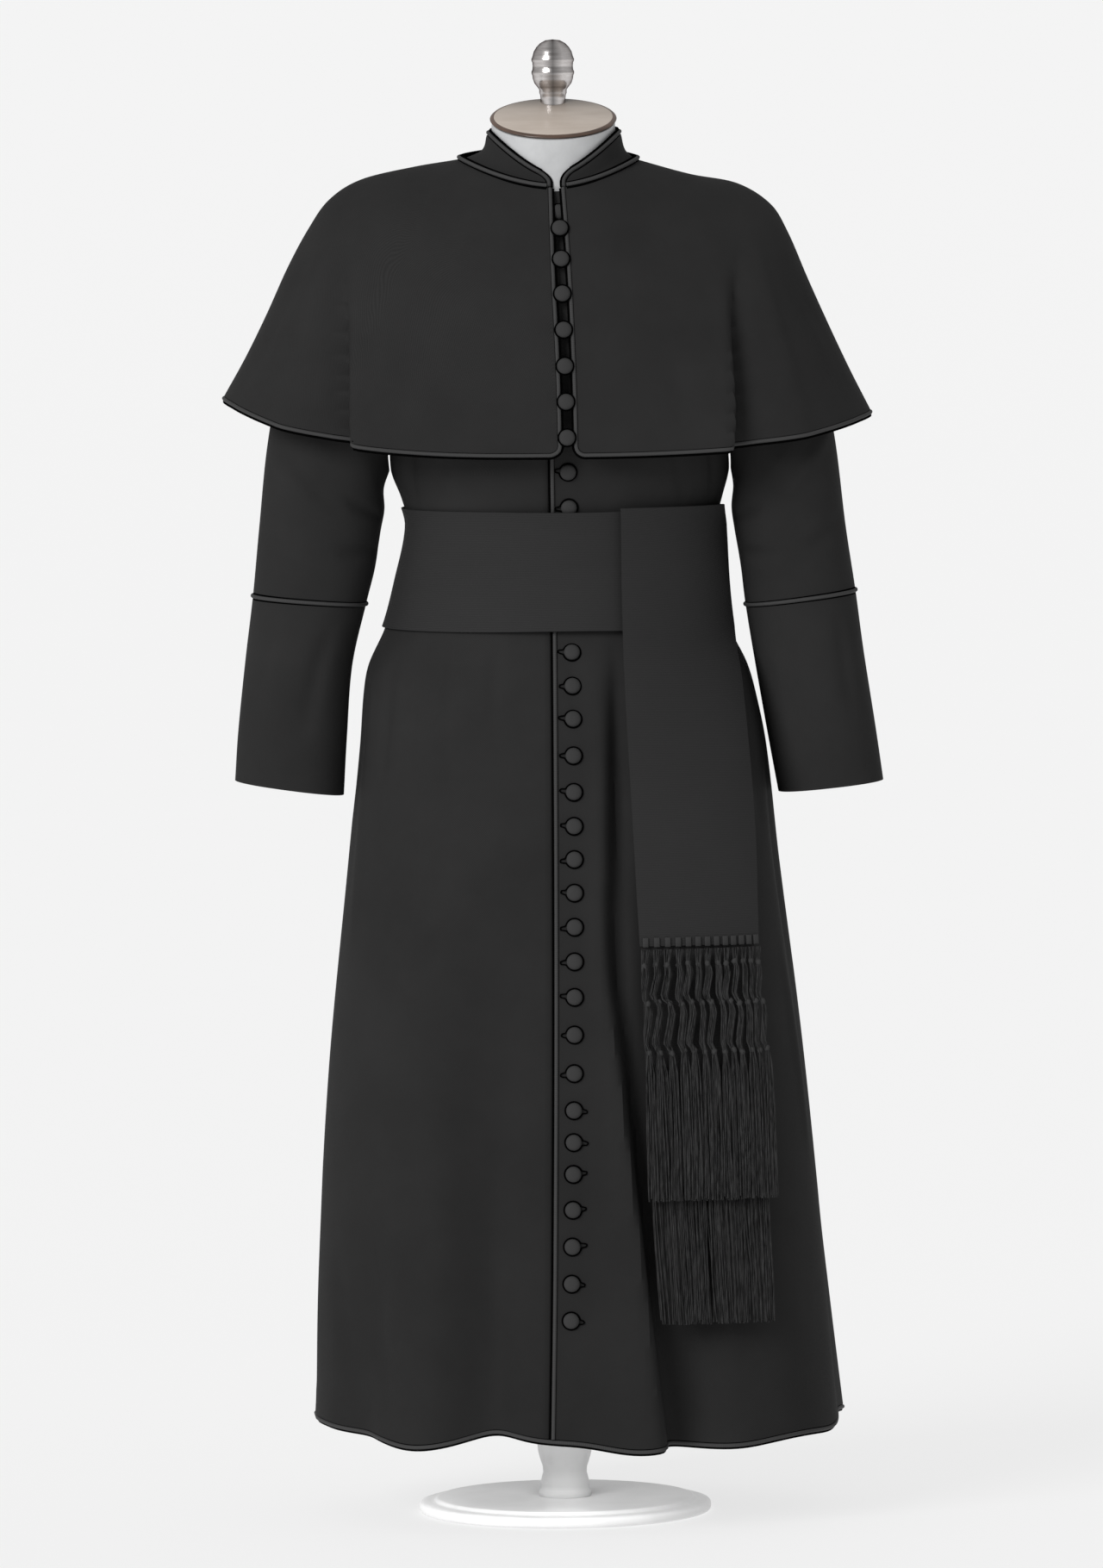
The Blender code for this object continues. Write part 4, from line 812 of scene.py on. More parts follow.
cape = {
    "rings": [  # left, right, left z, right z, front, front z, back, back z, from the neckline to the hem
        (0.1045, 0.0930, 1.4995, 1.4975, 0.0915, 1.4700, 0.0785, 1.5080),
        (0.1540, 0.1500, 1.4920, 1.4815, 0.1130, 1.4300, 0.1020, 1.4800),
        (0.2125, 0.2020, 1.4785, 1.4710, 0.1290, 1.3850, 0.1240, 1.4400),
        (0.2480, 0.2385, 1.4565, 1.4480, 0.1390, 1.3400, 0.1370, 1.3950),
        (0.2715, 0.2580, 1.4240, 1.4160, 0.1460, 1.3000, 0.1440, 1.3500),
        (0.2945, 0.2790, 1.3820, 1.3660, 0.1500, 1.2650, 0.1500, 1.3100),
        (0.3180, 0.3015, 1.3310, 1.3150, 0.1530, 1.2350, 0.1550, 1.2700),
        (0.3415, 0.3245, 1.2840, 1.2654, 0.1560, 1.2080, 0.1590, 1.2330),
        (0.3655, 0.3470, 1.2415, 1.2205, 0.1590, 1.1830, 0.1620, 1.1980),
    ],
    "fullness": 2.15,
    "rise": (1.6, 3.0),
    "corner": 0.011,
    "length": 0.31,
    "folds": [
        (-43, -57, 0.30, 6.5, -0.020), (-32, -40, 0.45, 6, 0.006), (39, 54, 0.30, 6.5, -0.022),
        (29, 38, 0.42, 6, 0.009), (128, 120, 0.40, 9, -0.012), (152, 150, 0.50, 9, 0.008),
        (-130, -121, 0.40, 9, -0.013), (-154, -151, 0.50, 9, 0.007),
    ],
    "edgeRight": [(1.16, 0.0020), (1.28, -0.0003), (1.38, -0.0045), (1.48, -0.0070)],
    "edgeLeft": [(1.16, 0.0252), (1.28, 0.0226), (1.38, 0.0186), (1.48, 0.0120)],
    "creases": [  # radians x 0.25 and length up from the hem of both ends, width, height
        (-0.147, -0.060, -0.266, 0.170, 0.0090, -0.0150), (-0.128, -0.060, -0.228, 0.170, 0.011, 0.0060),
        (-0.232, -0.020, -0.285, 0.190, 0.010, 0.0035), (-0.118, 0.000, -0.140, 0.120, 0.013, -0.0030),
        (-0.330, 0.000, -0.318, 0.150, 0.012, -0.0035), (0.127, -0.060, 0.232, 0.170, 0.0090, -0.0160),
        (0.110, -0.060, 0.198, 0.170, 0.010, 0.0080), (0.216, -0.020, 0.272, 0.190, 0.010, 0.0035),
        (0.104, 0.010, 0.118, 0.140, 0.013, -0.0030), (0.322, 0.000, 0.310, 0.140, 0.012, -0.0035),
        (0.450, 0.000, 0.442, 0.150, 0.014, -0.0040), (-0.455, 0.000, -0.440, 0.160, 0.014, -0.0040),
        (0.620, 0.000, 0.612, 0.130, 0.013, -0.0035), (-0.630, 0.000, -0.622, 0.140, 0.013, -0.0035),
        (0.740, 0.010, 0.735, 0.110, 0.012, 0.0030), (-0.745, 0.010, -0.738, 0.120, 0.012, 0.0030),
    ],
}


def capeSurface(angle, v):
    angle, v = np.broadcast_arrays(np.asarray(angle, float), np.asarray(v, float))
    last = len(cape["rings"]) - 1
    ring = ringsAt(cape["rings"], np.clip((1 - v) * last, 0, last))
    x, y = around(angle, ring[0], ring[1], ring[4], ring[6], cape["fullness"])
    s, c = np.sin(angle), np.cos(angle)
    low, high = np.where(c > 0, ring[5], ring[7]), np.where(s > 0, ring[3], ring[2])
    power = cape["rise"][0] + (cape["rise"][1] - cape["rise"][0]) * (1 - v)
    point = stack(x, y, low + (high - low) * np.abs(s) ** power)
    depth = 0
    for hemAngle, topAngle, top, spread, deep in cape["folds"]:
        share = np.clip((1 - v - top) / (1 - top), 0, None)
        depth = depth + deep * share**1.3 * bump(np.degrees(angle), topAngle + (hemAngle - topAngle) * share, spread)
    turned = (angle + np.pi) % math.tau - np.pi
    depth = depth + creaseAt(cape["creases"], turned * 0.25, v * cape["length"])
    return point + unit(stack(x, y, 0)) * depth[..., None]


def capeEdge(v, side):
    last = len(cape["rings"]) - 1
    ring = ringsAt(cape["rings"], (1 - np.asarray(v, float)) * last)
    table = cape["edgeLeft" if side > 0 else "edgeRight"]
    return angleAt(rowsAt(table, ring[5])[1], ring[0], ring[1], cape["fullness"])


def capeCorner(angle, edge, v):
    away = np.clip(1 - np.abs(angle - edge) / angleStep(capeSurface, 0, 0, 1) / cape["corner"], 0, 1)
    return cape["corner"] * (1 - np.sqrt(1 - away * away)) / cape["length"] * np.clip(1 - v * 6, 0, None)


def capeGrid(side, share, v):
    # share runs from the front edge (0) to the centre back (1); the first tenth of it is the rounded corner
    edge = capeEdge(v, side)
    inset = angleStep(capeSurface, math.pi, v, cassock["seamGap"] / 2)
    near = side * angleStep(capeSurface, 0, v, cape["corner"])
    far = side * (math.pi - inset)
    angle = edge + near * np.clip(share / 0.1, 0, 1)
    angle = angle + (far - edge - near) * np.clip((share - 0.1) / 0.9, 0, 1)
    return angle, v + capeCorner(angle, edge, v)


def makeCapeHalf(side, name):
    def place(across, up):
        angle, v = capeGrid(side, across if side > 0 else 1 - across, up**0.9)
        return capeSurface(angle, v)

    return clothPiece("cape_cloth_" + name, 100, 72, place, "wool", "cape_" + name)


capeLeft = makeCapeHalf(1, "left")
capeRight = makeCapeHalf(-1, "right")


def capeBoundary(side):
    # down the front edge, round the corner and along the hem to the centre back
    down = np.linspace(1, 0, 60)[:-1]
    frontAngle, frontV = capeGrid(side, np.zeros_like(down), down)
    shares = np.concatenate([np.linspace(0, 0.1, 12), np.linspace(0.1, 1, 150)[1:]])
    hemAngle, hemV = capeGrid(side, shares, np.zeros_like(shares))
    return np.concatenate([frontAngle, hemAngle]), np.concatenate([frontV, hemV])


leftPath, rightPath = capeBoundary(1), capeBoundary(-1)
capeAngles = np.concatenate([leftPath[0][:-1], [math.pi], rightPath[0][-2::-1] + math.tau])
capeVs = np.concatenate([leftPath[1][:-1], [0], rightPath[1][-2::-1]])
capePoints, capeUps = edgePath(capeSurface, capeAngles, capeVs)
pipedEdge("cape_cord", capePoints, capeUps, ["cape_piping"])

neckAngles = np.linspace(float(capeEdge(1, 1)) + 0.01, float(capeEdge(1, -1)) - 0.01 + math.tau, 140)
neckPoints = capeSurface(neckAngles, 1.0) + (0, 0, cassock["cordLift"] + 2 * piping["layGap"])
neckUps = unit(stack(np.sin(neckAngles), -np.cos(neckAngles), 0.6 + 0 * neckAngles))
pipedEdge("neck_cord", neckPoints, neckUps, ["neck_piping"])
print("cape hung")


# the collar

collar = {
    "rings": [(0.00, 0.1010, 0.0880, 0.0855, 0.0730), (0.35, 0.0800, 0.0790, 0.0800, 0.0722),
              (1.00, 0.0735, 0.0745, 0.0760, 0.0725)],  # share, left, right, front, back
    "lift": 0.0032,
    "sideTop": 1.5260,
    "frontTop": 1.4790,
    "curve": 1.5,
    "backTop": 1.5340,
    "gap": (-0.0080, 0.0135),
    "cornerReach": 0.010,
    "cornerDrop": 0.62,  # share of the collar's height that the rounded corner takes
    "cornerRadius": 0.076,
}


def collarSurface(angle, share):
    # from the neck seam, which dips in front, up to the collar's curved top
    angle, share = np.broadcast_arrays(np.asarray(angle, float), np.asarray(share, float))
    ring = rowsAt(collar["rings"], share)
    x, y = around(angle, ring[1], ring[2], ring[3], ring[4], 2.0)
    s, c = np.sin(angle), np.cos(angle)
    seam = cassock["neckSeam"] + collar["lift"] + c * c * np.where(c < 0, cassock["neckRise"], -cassock["neckDip"])
    end = np.where(c < 0, collar["backTop"], collar["frontTop"])
    top = end + (collar["sideTop"] - end) * np.abs(s) ** collar["curve"]
    return stack(x, y, seam + (top - seam) * share)


def collarEdge(share, side):
    ring = rowsAt(collar["rings"], share)
    return angleAt(collar["gap"][1 if side > 0 else 0], ring[1], ring[2], 2.0)


def collarCorner(away):
    away = np.clip(1 - np.abs(away) * collar["cornerRadius"] / collar["cornerReach"], 0, 1)
    return 1 - collar["cornerDrop"] * (1 - np.sqrt(1 - away * away))


def collarGrid(across, share):
    start, end = collarEdge(share, 1), collarEdge(share, -1) + math.tau
    keys, cuts = [0, 0.13, -0.13, 0], [0, 0.12, 0.88, 1]
    ends = [start, start, end, end]
    angle = sum((np.interp(across, cuts, np.eye(4)[k]) * (ends[k] + keys[k]) for k in range(4)))
    shift = np.where(across < 0.5, angle - start, end - angle)
    return angle, share * collarCorner(shift)


collarPiece = clothPiece("collar_cloth", 150, 22, lambda across, up: collarSurface(*collarGrid(across, up)), "wool",
                         "collar")
ups = np.linspace(0.12, 1, 16)[:-1]
across = np.concatenate([np.zeros(15), np.linspace(0, 1, 220), np.ones(15)])
collarShares = np.concatenate([ups, np.ones(220), ups[::-1]])  # up one end, along the top and down the other
collarAngles, collarVs = collarGrid(across, collarShares)
collarPoints, collarUps = edgePath(collarSurface, collarAngles[::-1], collarVs[::-1], clear=3 * piping["layGap"])
pipedEdge("collar_cord", collarPoints, collarUps, ["collar_piping"])
print("collar set on")


# the sash

sash = {
    "low": 0.984,
    "high": 1.117,
    "wall": 0.0018,
    "creases": [  # radians x 0.17 and height of both ends, width, height
        (-0.200, 1.020, -0.070, 1.034, 0.007, 0.0016), (-0.215, 1.062, -0.110, 1.070, 0.007, 0.0014),
        (-0.090, 1.052, 0.020, 1.060, 0.006, 0.0012), (-0.060, 1.004, 0.060, 1.012, 0.006, 0.0013),
        (0.150, 1.040, 0.300, 1.056, 0.008, 0.0018), (0.340, 1.080, 0.480, 1.066, 0.007, 0.0016),
        (-0.310, 1.074, -0.450, 1.060, 0.007, 0.0016), (-0.300, 1.014, -0.480, 1.028, 0.008, 0.0018),
        (0.320, 1.010, 0.500, 1.024, 0.007, 0.0015),
    ],
    "room": 0.0020,
    "buttonRoom": 0.0055,
    "buttonSwell": (5, 22),  # degrees, middle and spread
    "endGap": 0.0025,
    "fringeDepth": 0.0060,
    "flatten": 0.55,
    "hang": (0.98, 0.70),
    # heights with the left edge, or both edges, of what hangs there
    "drape": [(1.1215, 0.0665), (0.9200, 0.0700), (0.7700, 0.0775), (0.6440, 0.0840), (0.3660, 0.0905),
              (0.2310, 0.1000)],
    "endOver": [(1.1215, 0.0665, 0.1740), (1.0080, 0.0672, 0.1805), (0.9200, 0.0700, 0.1935), (0.7700, 0.0775, 0.2065),
                (0.6440, 0.0840, 0.2105)],
    "endUnder": [(1.1190, 0.0730, 0.1720), (1.0080, 0.0740, 0.1780), (0.9200, 0.0760, 0.1895), (0.7700, 0.0830, 0.2015),
                 (0.4985, 0.0900, 0.2120)],
    "fringeOver": [(0.6400, 0.0835, 0.2105), (0.5200, 0.0875, 0.2215), (0.3660, 0.0905, 0.2270)],
    "fringeUnder": [(0.4955, 0.0900, 0.2120), (0.3700, 0.0950, 0.2210), (0.2310, 0.1040, 0.2265)],
}


def sashRoom(angle):
    # room under the band, and more over the buttons
    return sash["room"] + sash["buttonRoom"] * bump(np.degrees(angle), *sash["buttonSwell"])


def sashBand(angle, height):
    return movedOut(plainBody, angle, height, sashRoom(angle) + sash["wall"])


def bandFace(angle, height):
    # the band with the soft creases that its pull puts in it
    turned = (np.asarray(angle, float) + np.pi) % math.tau - np.pi
    crease = creaseAt(sash["creases"], turned * 0.17, np.asarray(height, float))
    return movedOut(sashBand, angle, height, crease)


def drape(angle, height):
    point = sashBand(angle, height)
    edge, row = rowsAt(sash["drape"], height), rowsAt(cassock["sections"], height)
    left = sashBand(angleAt(edge[1], row[1], row[2], cassock["fullness"]), height)
    free = sash["flatten"] * np.clip((sash["hang"][0] - height) / (sash["hang"][0] - sash["hang"][1]), 0, 1)
    return stack(point[..., 0], left[..., 1] + (point[..., 1] - left[..., 1]) * (1 - free), height)


def hanging(table, layer):
    def surface(u, v):
        u, v = np.broadcast_arrays(np.asarray(u, float), np.asarray(v, float))
        edge, row = rowsAt(table, v), rowsAt(cassock["sections"], v)
        left = angleAt(edge[1], row[1], row[2], cassock["fullness"])
        right = angleAt(edge[2], row[1], row[2], cassock["fullness"])
        return movedOut(drape, left + (right - left) * u, v, layer)

    return surface


def bandPlace(across, up):
    return bandFace(across * math.tau, sash["low"] + (sash["high"] - sash["low"]) * up)


def endPlace(table, layer):
    surface = hanging(table, layer)
    low, high = table[-1][0], table[0][0]
    return lambda across, up: surface(across, low + (high - low) * up)


sashWrap = clothPiece("sash_wrap", 180, 22, bandPlace, "sash", "sash_band", closed=True)
underLayer = sash["endGap"] + sash["wall"]
endUnder = clothPiece("sash_end_lower", 40, 110, endPlace(sash["endUnder"], underLayer), "sash", "sash_end_under")
endOver = clothPiece("sash_end_upper", 40, 96, endPlace(sash["endOver"], 2 * underLayer), "sash", "sash_end_over")
print("sash wrapped")


# fringes: knotted rows, then free yarns

fringe = {
    "bundles": 13,
    "yarns": 12,
    "yarnRadius": 0.00100,
    "knotRows": [0.016, 0.059, 0.112],  # distance below the sash end
    "slants": [0.0, -0.016, -0.010, -0.012],  # how far a bundle has swung at each knot, as a share of the width
    "splits": [0.42, 0.76],  # where the lower fringe hangs apart
    "widths": {"top": 0.70, "knot": 0.30, "above": 0.56, "below": 0.58, "loose": 0.88, "low": 1.05, "end": 1.08},
    "loosens": 0.022,  # distance under the last knot
    "lowBand": 0.060,
    "uneven": 0.0026,  # how much the yarns' ends differ
    "knotRadius": 0.0037,
    "tab": (0.0062, 0.0105, 0.0016),  # the small loops over the sash end
    "tabLift": 0.0012,
    "tabAbove": 0.0040,
}


def yarnStrip(name, paths, radius, material, nodes=()):
    # one round yarn along each path, all in one mesh
    curve = bpy.data.curves.new(name, "CURVE")
    curve.dimensions = "3D"
    curve.bevel_depth = radius
    curve.bevel_resolution = 1
    curve.use_fill_caps = True
    for path in paths:
        spline = curve.splines.new("POLY")
        spline.points.add(len(path) - 1)
        spline.points.foreach_set("co", np.concatenate([path, np.ones((len(path), 1))], axis=1).ravel())
    guide = bpy.data.objects.new(name + "_guide", curve)
    scene.collection.objects.link(guide)
    bpy.context.view_layer.update()
    made = bpy.data.meshes.new_from_object(guide.evaluated_get(bpy.context.evaluated_depsgraph_get()))
    bpy.data.objects.remove(guide)
    bm = bmesh.new()
    bm.from_mesh(made)
    bpy.data.meshes.remove(made)
    bmesh.ops.recalc_face_normals(bm, faces=bm.faces)
    return newPiece(name, bm, material, nodes, smoothAngle=80)


def fringePaths(table, layer, knotted):
    # each bundle: yarns side by side that draw together at the knots and hang freely below them
    surface = hanging(table, layer)
    top, low = table[0][0], table[-1][0]
    paths, knots = [], []
    count, wide = fringe["bundles"], fringe["widths"]
    for b in range(count):
        centre = (b + 0.5) / count
        stations = [(top, centre, wide["top"])]
        if knotted:
            swing = dice.uniform(0.6, 1.3)
            for k, below in enumerate(fringe["knotRows"]):
                middle = centre + fringe["slants"][k + 1] * swing + dice.uniform(-0.004, 0.004)
                at = top - below + dice.uniform(-0.0015, 0.0015)
                stations.append((at, middle, wide["knot"]))
                knots.append((middle, at))
                if k < len(fringe["knotRows"]) - 1:
                    gap = fringe["knotRows"][k + 1] - below
                    stations.append((at - gap * 0.20, middle + 0.010 * swing, wide["below"]))
                    stations.append((at - gap * 0.82, middle - 0.030 * swing, wide["above"]))
            stations.append((at - fringe["loosens"], (middle + centre) / 2, wide["loose"]))
        stations.append((low + fringe["lowBand"], centre + dice.uniform(-0.004, 0.004), wide["low"]))
        stations.append((low, centre + dice.uniform(-0.006, 0.006), wide["end"]))
        heights = np.linspace(top, low, 52 if knotted else 26)
        rows = np.array(stations)[::-1]
        middles = np.interp(heights, rows[:, 0], rows[:, 1])
        spreads = np.interp(heights, rows[:, 0], rows[:, 2])
        for y in range(fringe["yarns"]):
            lane = (y + 0.5) / fringe["yarns"] - 0.5 + dice.uniform(-0.03, 0.03)
            depth = dice.uniform(-0.0016, 0.0016)
            wander = dice.uniform(0, math.tau)
            sway = 0.0045 * np.sin(heights * dice.uniform(18, 34) + wander)
            end = low + abs(dice.gauss(0, fringe["uneven"]))
            h = np.maximum(heights, end)
            u = middles + lane * spreads / count + sway
            if not knotted:
                for split in fringe["splits"]:
                    apart = np.clip((top - h) / (top - low), 0, 1)
                    u = u + 0.020 * apart * np.tanh((u - split) / 0.004) * np.exp(-((u - split) / 0.10) ** 2)
            base = surface(np.clip(u, 0.002, 0.998), h)
            away = depth + 0.0004 * np.sin(heights * 60 + wander)
            paths.append(base + normalOf(surface, np.clip(u, 0.01, 0.99), h) * away[:, None])
    knotPoints = [surface(np.array(u), np.array(v)) for u, v in knots]
    return paths, knotPoints


overLayer = 2 * sash["endGap"] + sash["fringeDepth"] + underLayer + sash["fringeDepth"] / 2
pathsOver, knotsOver = fringePaths(sash["fringeOver"], overLayer - sash["fringeDepth"] / 2, True)
pathsUnder, _ = fringePaths(sash["fringeUnder"], underLayer, False)
fringeOver = yarnStrip("fringe_upper", pathsOver, fringe["yarnRadius"], fringeYarn, ["fringe_over"])
fringeUnder = yarnStrip("fringe_lower", pathsUnder, fringe["yarnRadius"], shadedYarn, ["fringe_under"])
knotMesh = bmesh.new()
for point in knotsOver:
    turn = Matrix.Rotation(dice.uniform(-0.5, 0.5), 4, "Y") @ Matrix.Diagonal((1.0, 0.8, 1.25, 1))
    bmesh.ops.create_icosphere(knotMesh, subdivisions=1, radius=fringe["knotRadius"],
                               matrix=Matrix.Translation(point) @ turn)
newPiece("fringe_knots", knotMesh, buttonCloth, smoothAngle=80)

# the header: a row of small tabs where the bundles are looped over the sash end
tabMesh = bmesh.new()
tabSurface = hanging(sash["endOver"], 2 * underLayer + fringe["tabLift"])
for b in range(fringe["bundles"]):
    spot, height = (b + 0.5) / fringe["bundles"], sash["endOver"][-1][0] + fringe["tabAbove"]
    middle, facing = Vector(tabSurface(spot, height)), Vector(normalOf(tabSurface, np.array(spot), np.array(height)))
    seat = Matrix.Translation(middle) @ facing.to_track_quat("Z", "Y").to_matrix().to_4x4()
    bmesh.ops.create_cube(tabMesh, size=1.0, matrix=seat @ Matrix.Diagonal((*fringe["tab"], 1)))
bmesh.ops.bevel(tabMesh, geom=tabMesh.edges[:], offset=0.0005, segments=2, profile=0.5, affect="EDGES", material=-1)
newPiece("fringe_header", tabMesh, buttonCloth, smoothAngle=80)
print("fringes knotted")


# covered buttons and their worked holes

buttons = {
    "count": 33,
    "radius": 0.0087,
    "thick": 0.0052,
    "high": 1.4575,
    "low": 0.2380,
    "lift": 0.0011,
    "row": (0.0160, 0.0110, 0.80, 0.66),  # x, its bend, the middle of the bend and its reach
    "spacing": [(1, 0), (3, 0.0120), (6, 0.0105), (10, 0.0065), (14, 0.0008), (16, 0.0055), (18, 0.0025), (21, 0.0075),
                (24, 0.0085), (27, -0.0005), (29, 0.0065), (33, 0)],  # button, how far it sits above an even row
    "onCape": (2, 8),
    "capeLift": 0.0017,
    "hole": 0.0097,  # radius of the worked edge round a button, in near-black thread that is partly painted shadow round the button
    "eye": 0.0056,  # how far the keyhole's eye reaches past it
    "eyesToRight": 26,  # down to this button the eye shows on the wearer's right of it
    "stitch": 0.00085,
    "profile": [(0.90, 0.0), (1.0, 0.20), (1.0, 0.36), (0.95, 0.55), (0.84, 0.74), (0.66, 0.88), (0.42, 0.96),
                (0.18, 1.0)],  # shares of the radius and of the thickness
}


def spun(profile, sides, bottom=None, top=None):
    # a turned shape about Z from (radius, height) rows; a point closes an end, or a flat face does
    bm = bmesh.new()
    verts = [bm.verts.new((radius, 0, height)) for radius, height in profile]
    if bottom is not None:
        verts.insert(0, bm.verts.new((0, 0, bottom)))
    if top is not None:
        verts.append(bm.verts.new((0, 0, top)))
    edges = [bm.edges.new(pair) for pair in zip(verts, verts[1:])]
    bmesh.ops.spin(bm, geom=verts + edges, axis=(0, 0, 1), cent=(0, 0, 0), angle=math.tau, steps=sides, use_merge=True)
    bmesh.ops.remove_doubles(bm, verts=bm.verts, dist=1e-6)
    closeHoles(bm)
    return bm


def capeShare(height):
    low, high = 0.0, 1.0
    for _ in range(20):
        middle = (low + high) / 2
        low, high = (middle, high) if capeSurface(0, middle)[2] < height else (low, middle)
    return low


def buttonPlace(number):
    height = buttons["high"] + (buttons["low"] - buttons["high"]) * (number - 1) / (buttons["count"] - 1)
    height += float(rowsAt(buttons["spacing"], np.array(float(number)))[1])
    x, bend, middle, reach = buttons["row"]
    x -= bend * ((height - middle) / reach) ** 2
    surface, v, lift = body, height, buttons["lift"]
    if buttons["onCape"][0] <= number <= buttons["onCape"][1]:
        surface, v, lift = capeSurface, capeShare(height), buttons["capeLift"]
        ring = ringsAt(cape["rings"], (1 - np.array(v)) * (len(cape["rings"]) - 1))
        angle = angleAt(x, ring[0], ring[1], cape["fullness"])
    else:
        row = rowsAt(cassock["sections"], np.array(height))
        angle = angleAt(x, row[1], row[2], cassock["fullness"])
    angle, v = np.asarray(angle, float), np.asarray(v, float)
    point, facing = Vector(movedOut(surface, angle, v, lift)), Vector(normalOf(surface, angle, v))
    return Matrix.Translation(point) @ facing.to_track_quat("Z", "Y").to_matrix().to_4x4()


def holePath(number):
    # the buttonhole's worked edge: round under the button, with its eye to one side; its near-black ring round the
    # button is painted shadow as well as stitching
    turns = np.linspace(0, math.tau, 65)
    eyeAt = math.pi if number <= buttons["eyesToRight"] else 0.0
    eyeAt += dice.uniform(-0.15, 0.15)
    away = (turns - eyeAt + math.pi) % math.tau - math.pi
    size = buttons["eye"] * (1 if number > buttons["onCape"][1] else 0) * dice.uniform(0.75, 1.1)
    radius = buttons["hole"] + size / (1 + (away / 0.17) ** 6)
    return [(r * math.cos(turn), r * math.sin(turn), -0.0002) for r, turn in zip(radius, turns)]


def makeButtons():
    profile = [(buttons["radius"] * r, buttons["thick"] * h) for r, h in buttons["profile"]]
    holes = []
    for number in range(1, buttons["count"] + 1):
        seat = buttonPlace(number)
        button = spun(profile, 20, 0.0, buttons["thick"] * 1.005)
        bmesh.ops.transform(button, matrix=seat, verts=button.verts)
        newPiece(f"covered_button_{number:02d}", button, buttonCloth, [f"button_{number:02d}"])
        holes.append(np.array([seat @ Vector(point) for point in holePath(number)]))
    yarnStrip("buttonhole_stitching_and_shadow", holes, buttons["stitch"], seamAndShadowThread)


makeButtons()
print("buttons sewn on")


# dress form and stand

form = {
    "inset": 0.0075,
    "hips": [  # height, left, right, front, back
        (0.800, 0.120, 0.124, 0.080, 0.092), (0.803, 0.150, 0.154, 0.102, 0.116), (0.818, 0.172, 0.176, 0.120, 0.134),
        (0.860, 0.183, 0.187, 0.129, 0.144), (0.920, 0.183, 0.186, 0.129, 0.139),
    ],
    "heights": [0.984, 1.035, 1.095, 1.155, 1.220, 1.300, 1.380, 1.425, 1.450, 1.464],
    "neckRadius": 0.0680,
    "neckRings": [(1.4740, 0.0070), (1.4840, 0.0012), (1.4960, 0.0), (1.5080, 0.0)],
    "capRadius": 0.0695,
    "capThick": 0.0036,
    "capCentre": 1.5455,
    "capTilt": math.radians(16),
    "finialBack": 0.0520,
}


def formRings(turns):
    rings = []
    for height, left, right, front, back in form["hips"]:
        x, y = around(turns, left, right, front, back, cassock["fullness"])
        rings.append(stack(x, y, height))
    for height in form["heights"]:
        rings.append(movedOut(plainBody, turns, height, -form["inset"]))
    for height, extra in form["neckRings"]:
        radius = form["neckRadius"] + extra
        rings.append(stack(radius * np.sin(turns), -radius * np.cos(turns), height))
    x, y = form["neckRadius"] * np.sin(turns), -form["neckRadius"] * np.cos(turns)
    drop = form["capThick"] / math.cos(form["capTilt"]) + 0.0005
    rings.append(stack(x, y, form["capCentre"] + y * math.tan(form["capTilt"]) - drop))
    return np.stack(rings)


def formPlace(across, up):
    rings = formRings(across[0] * math.tau)
    t = up[:, 0] * (len(rings) - 1)
    i = np.clip(t.astype(int), 0, len(rings) - 2)
    share = (t - i)[:, None, None]
    return rings[i] * (1 - share) + rings[i + 1] * share


torso = clothGrid(72, 60, formPlace)
bmesh.ops.remove_doubles(torso, verts=torso.verts, dist=1e-5)
closeHoles(torso)
newPiece("form_body", torso, formJersey, ["form_torso"])

tilt = Matrix.Translation((0, 0, form["capCentre"])) @ Matrix.Rotation(form["capTilt"], 4, "X")
r, thick = form["capRadius"], form["capThick"]
capTop = spun([(r - 0.0042, -0.0012), (r - 0.0040, 0.0004), (r - 0.0060, 0.0010)], 64)
bmesh.ops.transform(capTop, matrix=tilt, verts=capTop.verts)
newPiece("neck_cap_top", capTop, capWood, ["form_neck_cap"])
rim = spun([(r - 0.0045, -thick), (r - 0.0012, -thick), (r, -thick + 0.0014), (r + 0.0004, -thick / 2), (r, -0.0012),
            (r - 0.0014, 0.0), (r - 0.0036, 0.0002)], 64)
bmesh.ops.transform(rim, matrix=tilt, verts=rim.verts)
newPiece("neck_cap_rim", rim, rimWood)

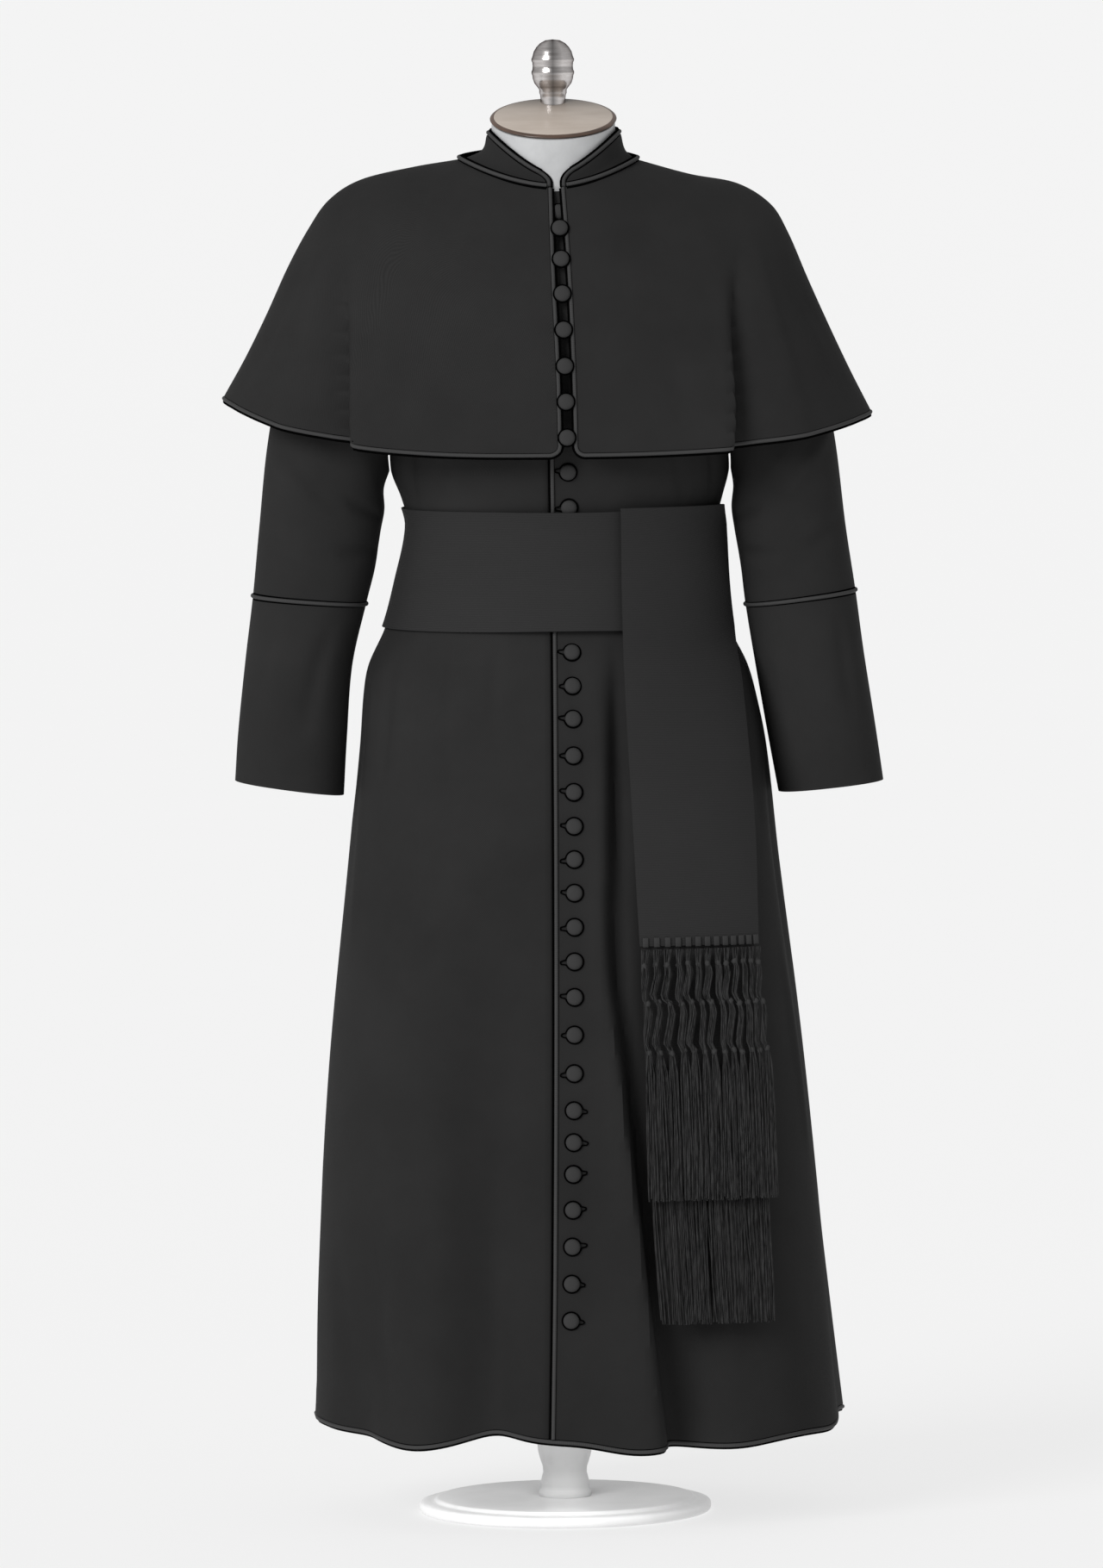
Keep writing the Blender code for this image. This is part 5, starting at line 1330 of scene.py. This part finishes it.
finial = {
    "profile": [  # radius, height
        (0.0140, -0.020), (0.0138, 0.004), (0.0142, 0.008), (0.0152, 0.0105), (0.0152, 0.0140), (0.0170, 0.0165),
        (0.0205, 0.0210), (0.0222, 0.0260), (0.0228, 0.0300), (0.0236, 0.0318), (0.0236, 0.0340), (0.0226, 0.0360),
        (0.0222, 0.0400), (0.0226, 0.0440), (0.0236, 0.0460), (0.0236, 0.0480), (0.0226, 0.0500), (0.0210, 0.0560),
        (0.0180, 0.0610), (0.0140, 0.0652), (0.0080, 0.0685),
    ],
    "top": 0.0695,
}
foot = Vector((0, form["finialBack"], form["capCentre"] + form["finialBack"] * math.tan(form["capTilt"])))
knob = spun(finial["profile"], 48, None, finial["top"])
bmesh.ops.translate(knob, vec=foot, verts=knob.verts)
tiltUp = Vector((0, -math.sin(form["capTilt"]), math.cos(form["capTilt"])))
everything = knob.verts[:] + knob.edges[:] + knob.faces[:]
bmesh.ops.bisect_plane(knob, geom=everything, plane_co=foot + tiltUp * 0.0012, plane_no=tiltUp, clear_inner=True)
closeHoles(knob)
newPiece("finial", knob, chromeMetal, ["form_finial"])

stand = {
    "pole": [(0.0285, 0.0166), (0.0290, 0.0190), (0.0290, 0.0215), (0.0276, 0.0240), (0.0268, 0.0260), (0.0268, 0.0290),
             (0.0270, 0.0320), (0.0258, 0.0370), (0.0242, 0.0430), (0.0246, 0.0490), (0.0262, 0.0540), (0.0284, 0.0610),
             (0.0300, 0.0680), (0.0307, 0.0790), (0.0305, 0.0900), (0.0290, 0.1030), (0.0260, 0.1150), (0.0222, 0.1250),
             (0.0190, 0.1350), (0.0180, 0.1600), (0.0180, 0.7995)],
    "base": [(0.1585, 0.0000), (0.1605, 0.0008), (0.1615, 0.0022), (0.1620, 0.0045), (0.1620, 0.0070), (0.1614, 0.0092),
             (0.1600, 0.0108), (0.1560, 0.0120), (0.1500, 0.0124), (0.1460, 0.0124), (0.1445, 0.0132), (0.1438, 0.0146),
             (0.1425, 0.0158), (0.1400, 0.0163)],
}
standGroup.objects.link(newPiece("turned_pole", spun(stand["pole"], 56), standPaint, ["stand_pole"]))
standGroup.objects.link(newPiece("round_base", spun(stand["base"], 96), standPaint, ["stand_base"]))
print("form and stand turned")


# the floor

floorMesh = bmesh.new()
bmesh.ops.create_grid(floorMesh, x_segments=2, y_segments=2, size=studio["floorSize"] / 2)
floorData = bpy.data.meshes.new("floor")
floorMesh.to_mesh(floorData)
floorMesh.free()
floorData.materials.append(floorPaint)
floor = bpy.data.objects.new("floor", floorData)
floor.location.z = -0.0005
scene.collection.objects.link(floor)
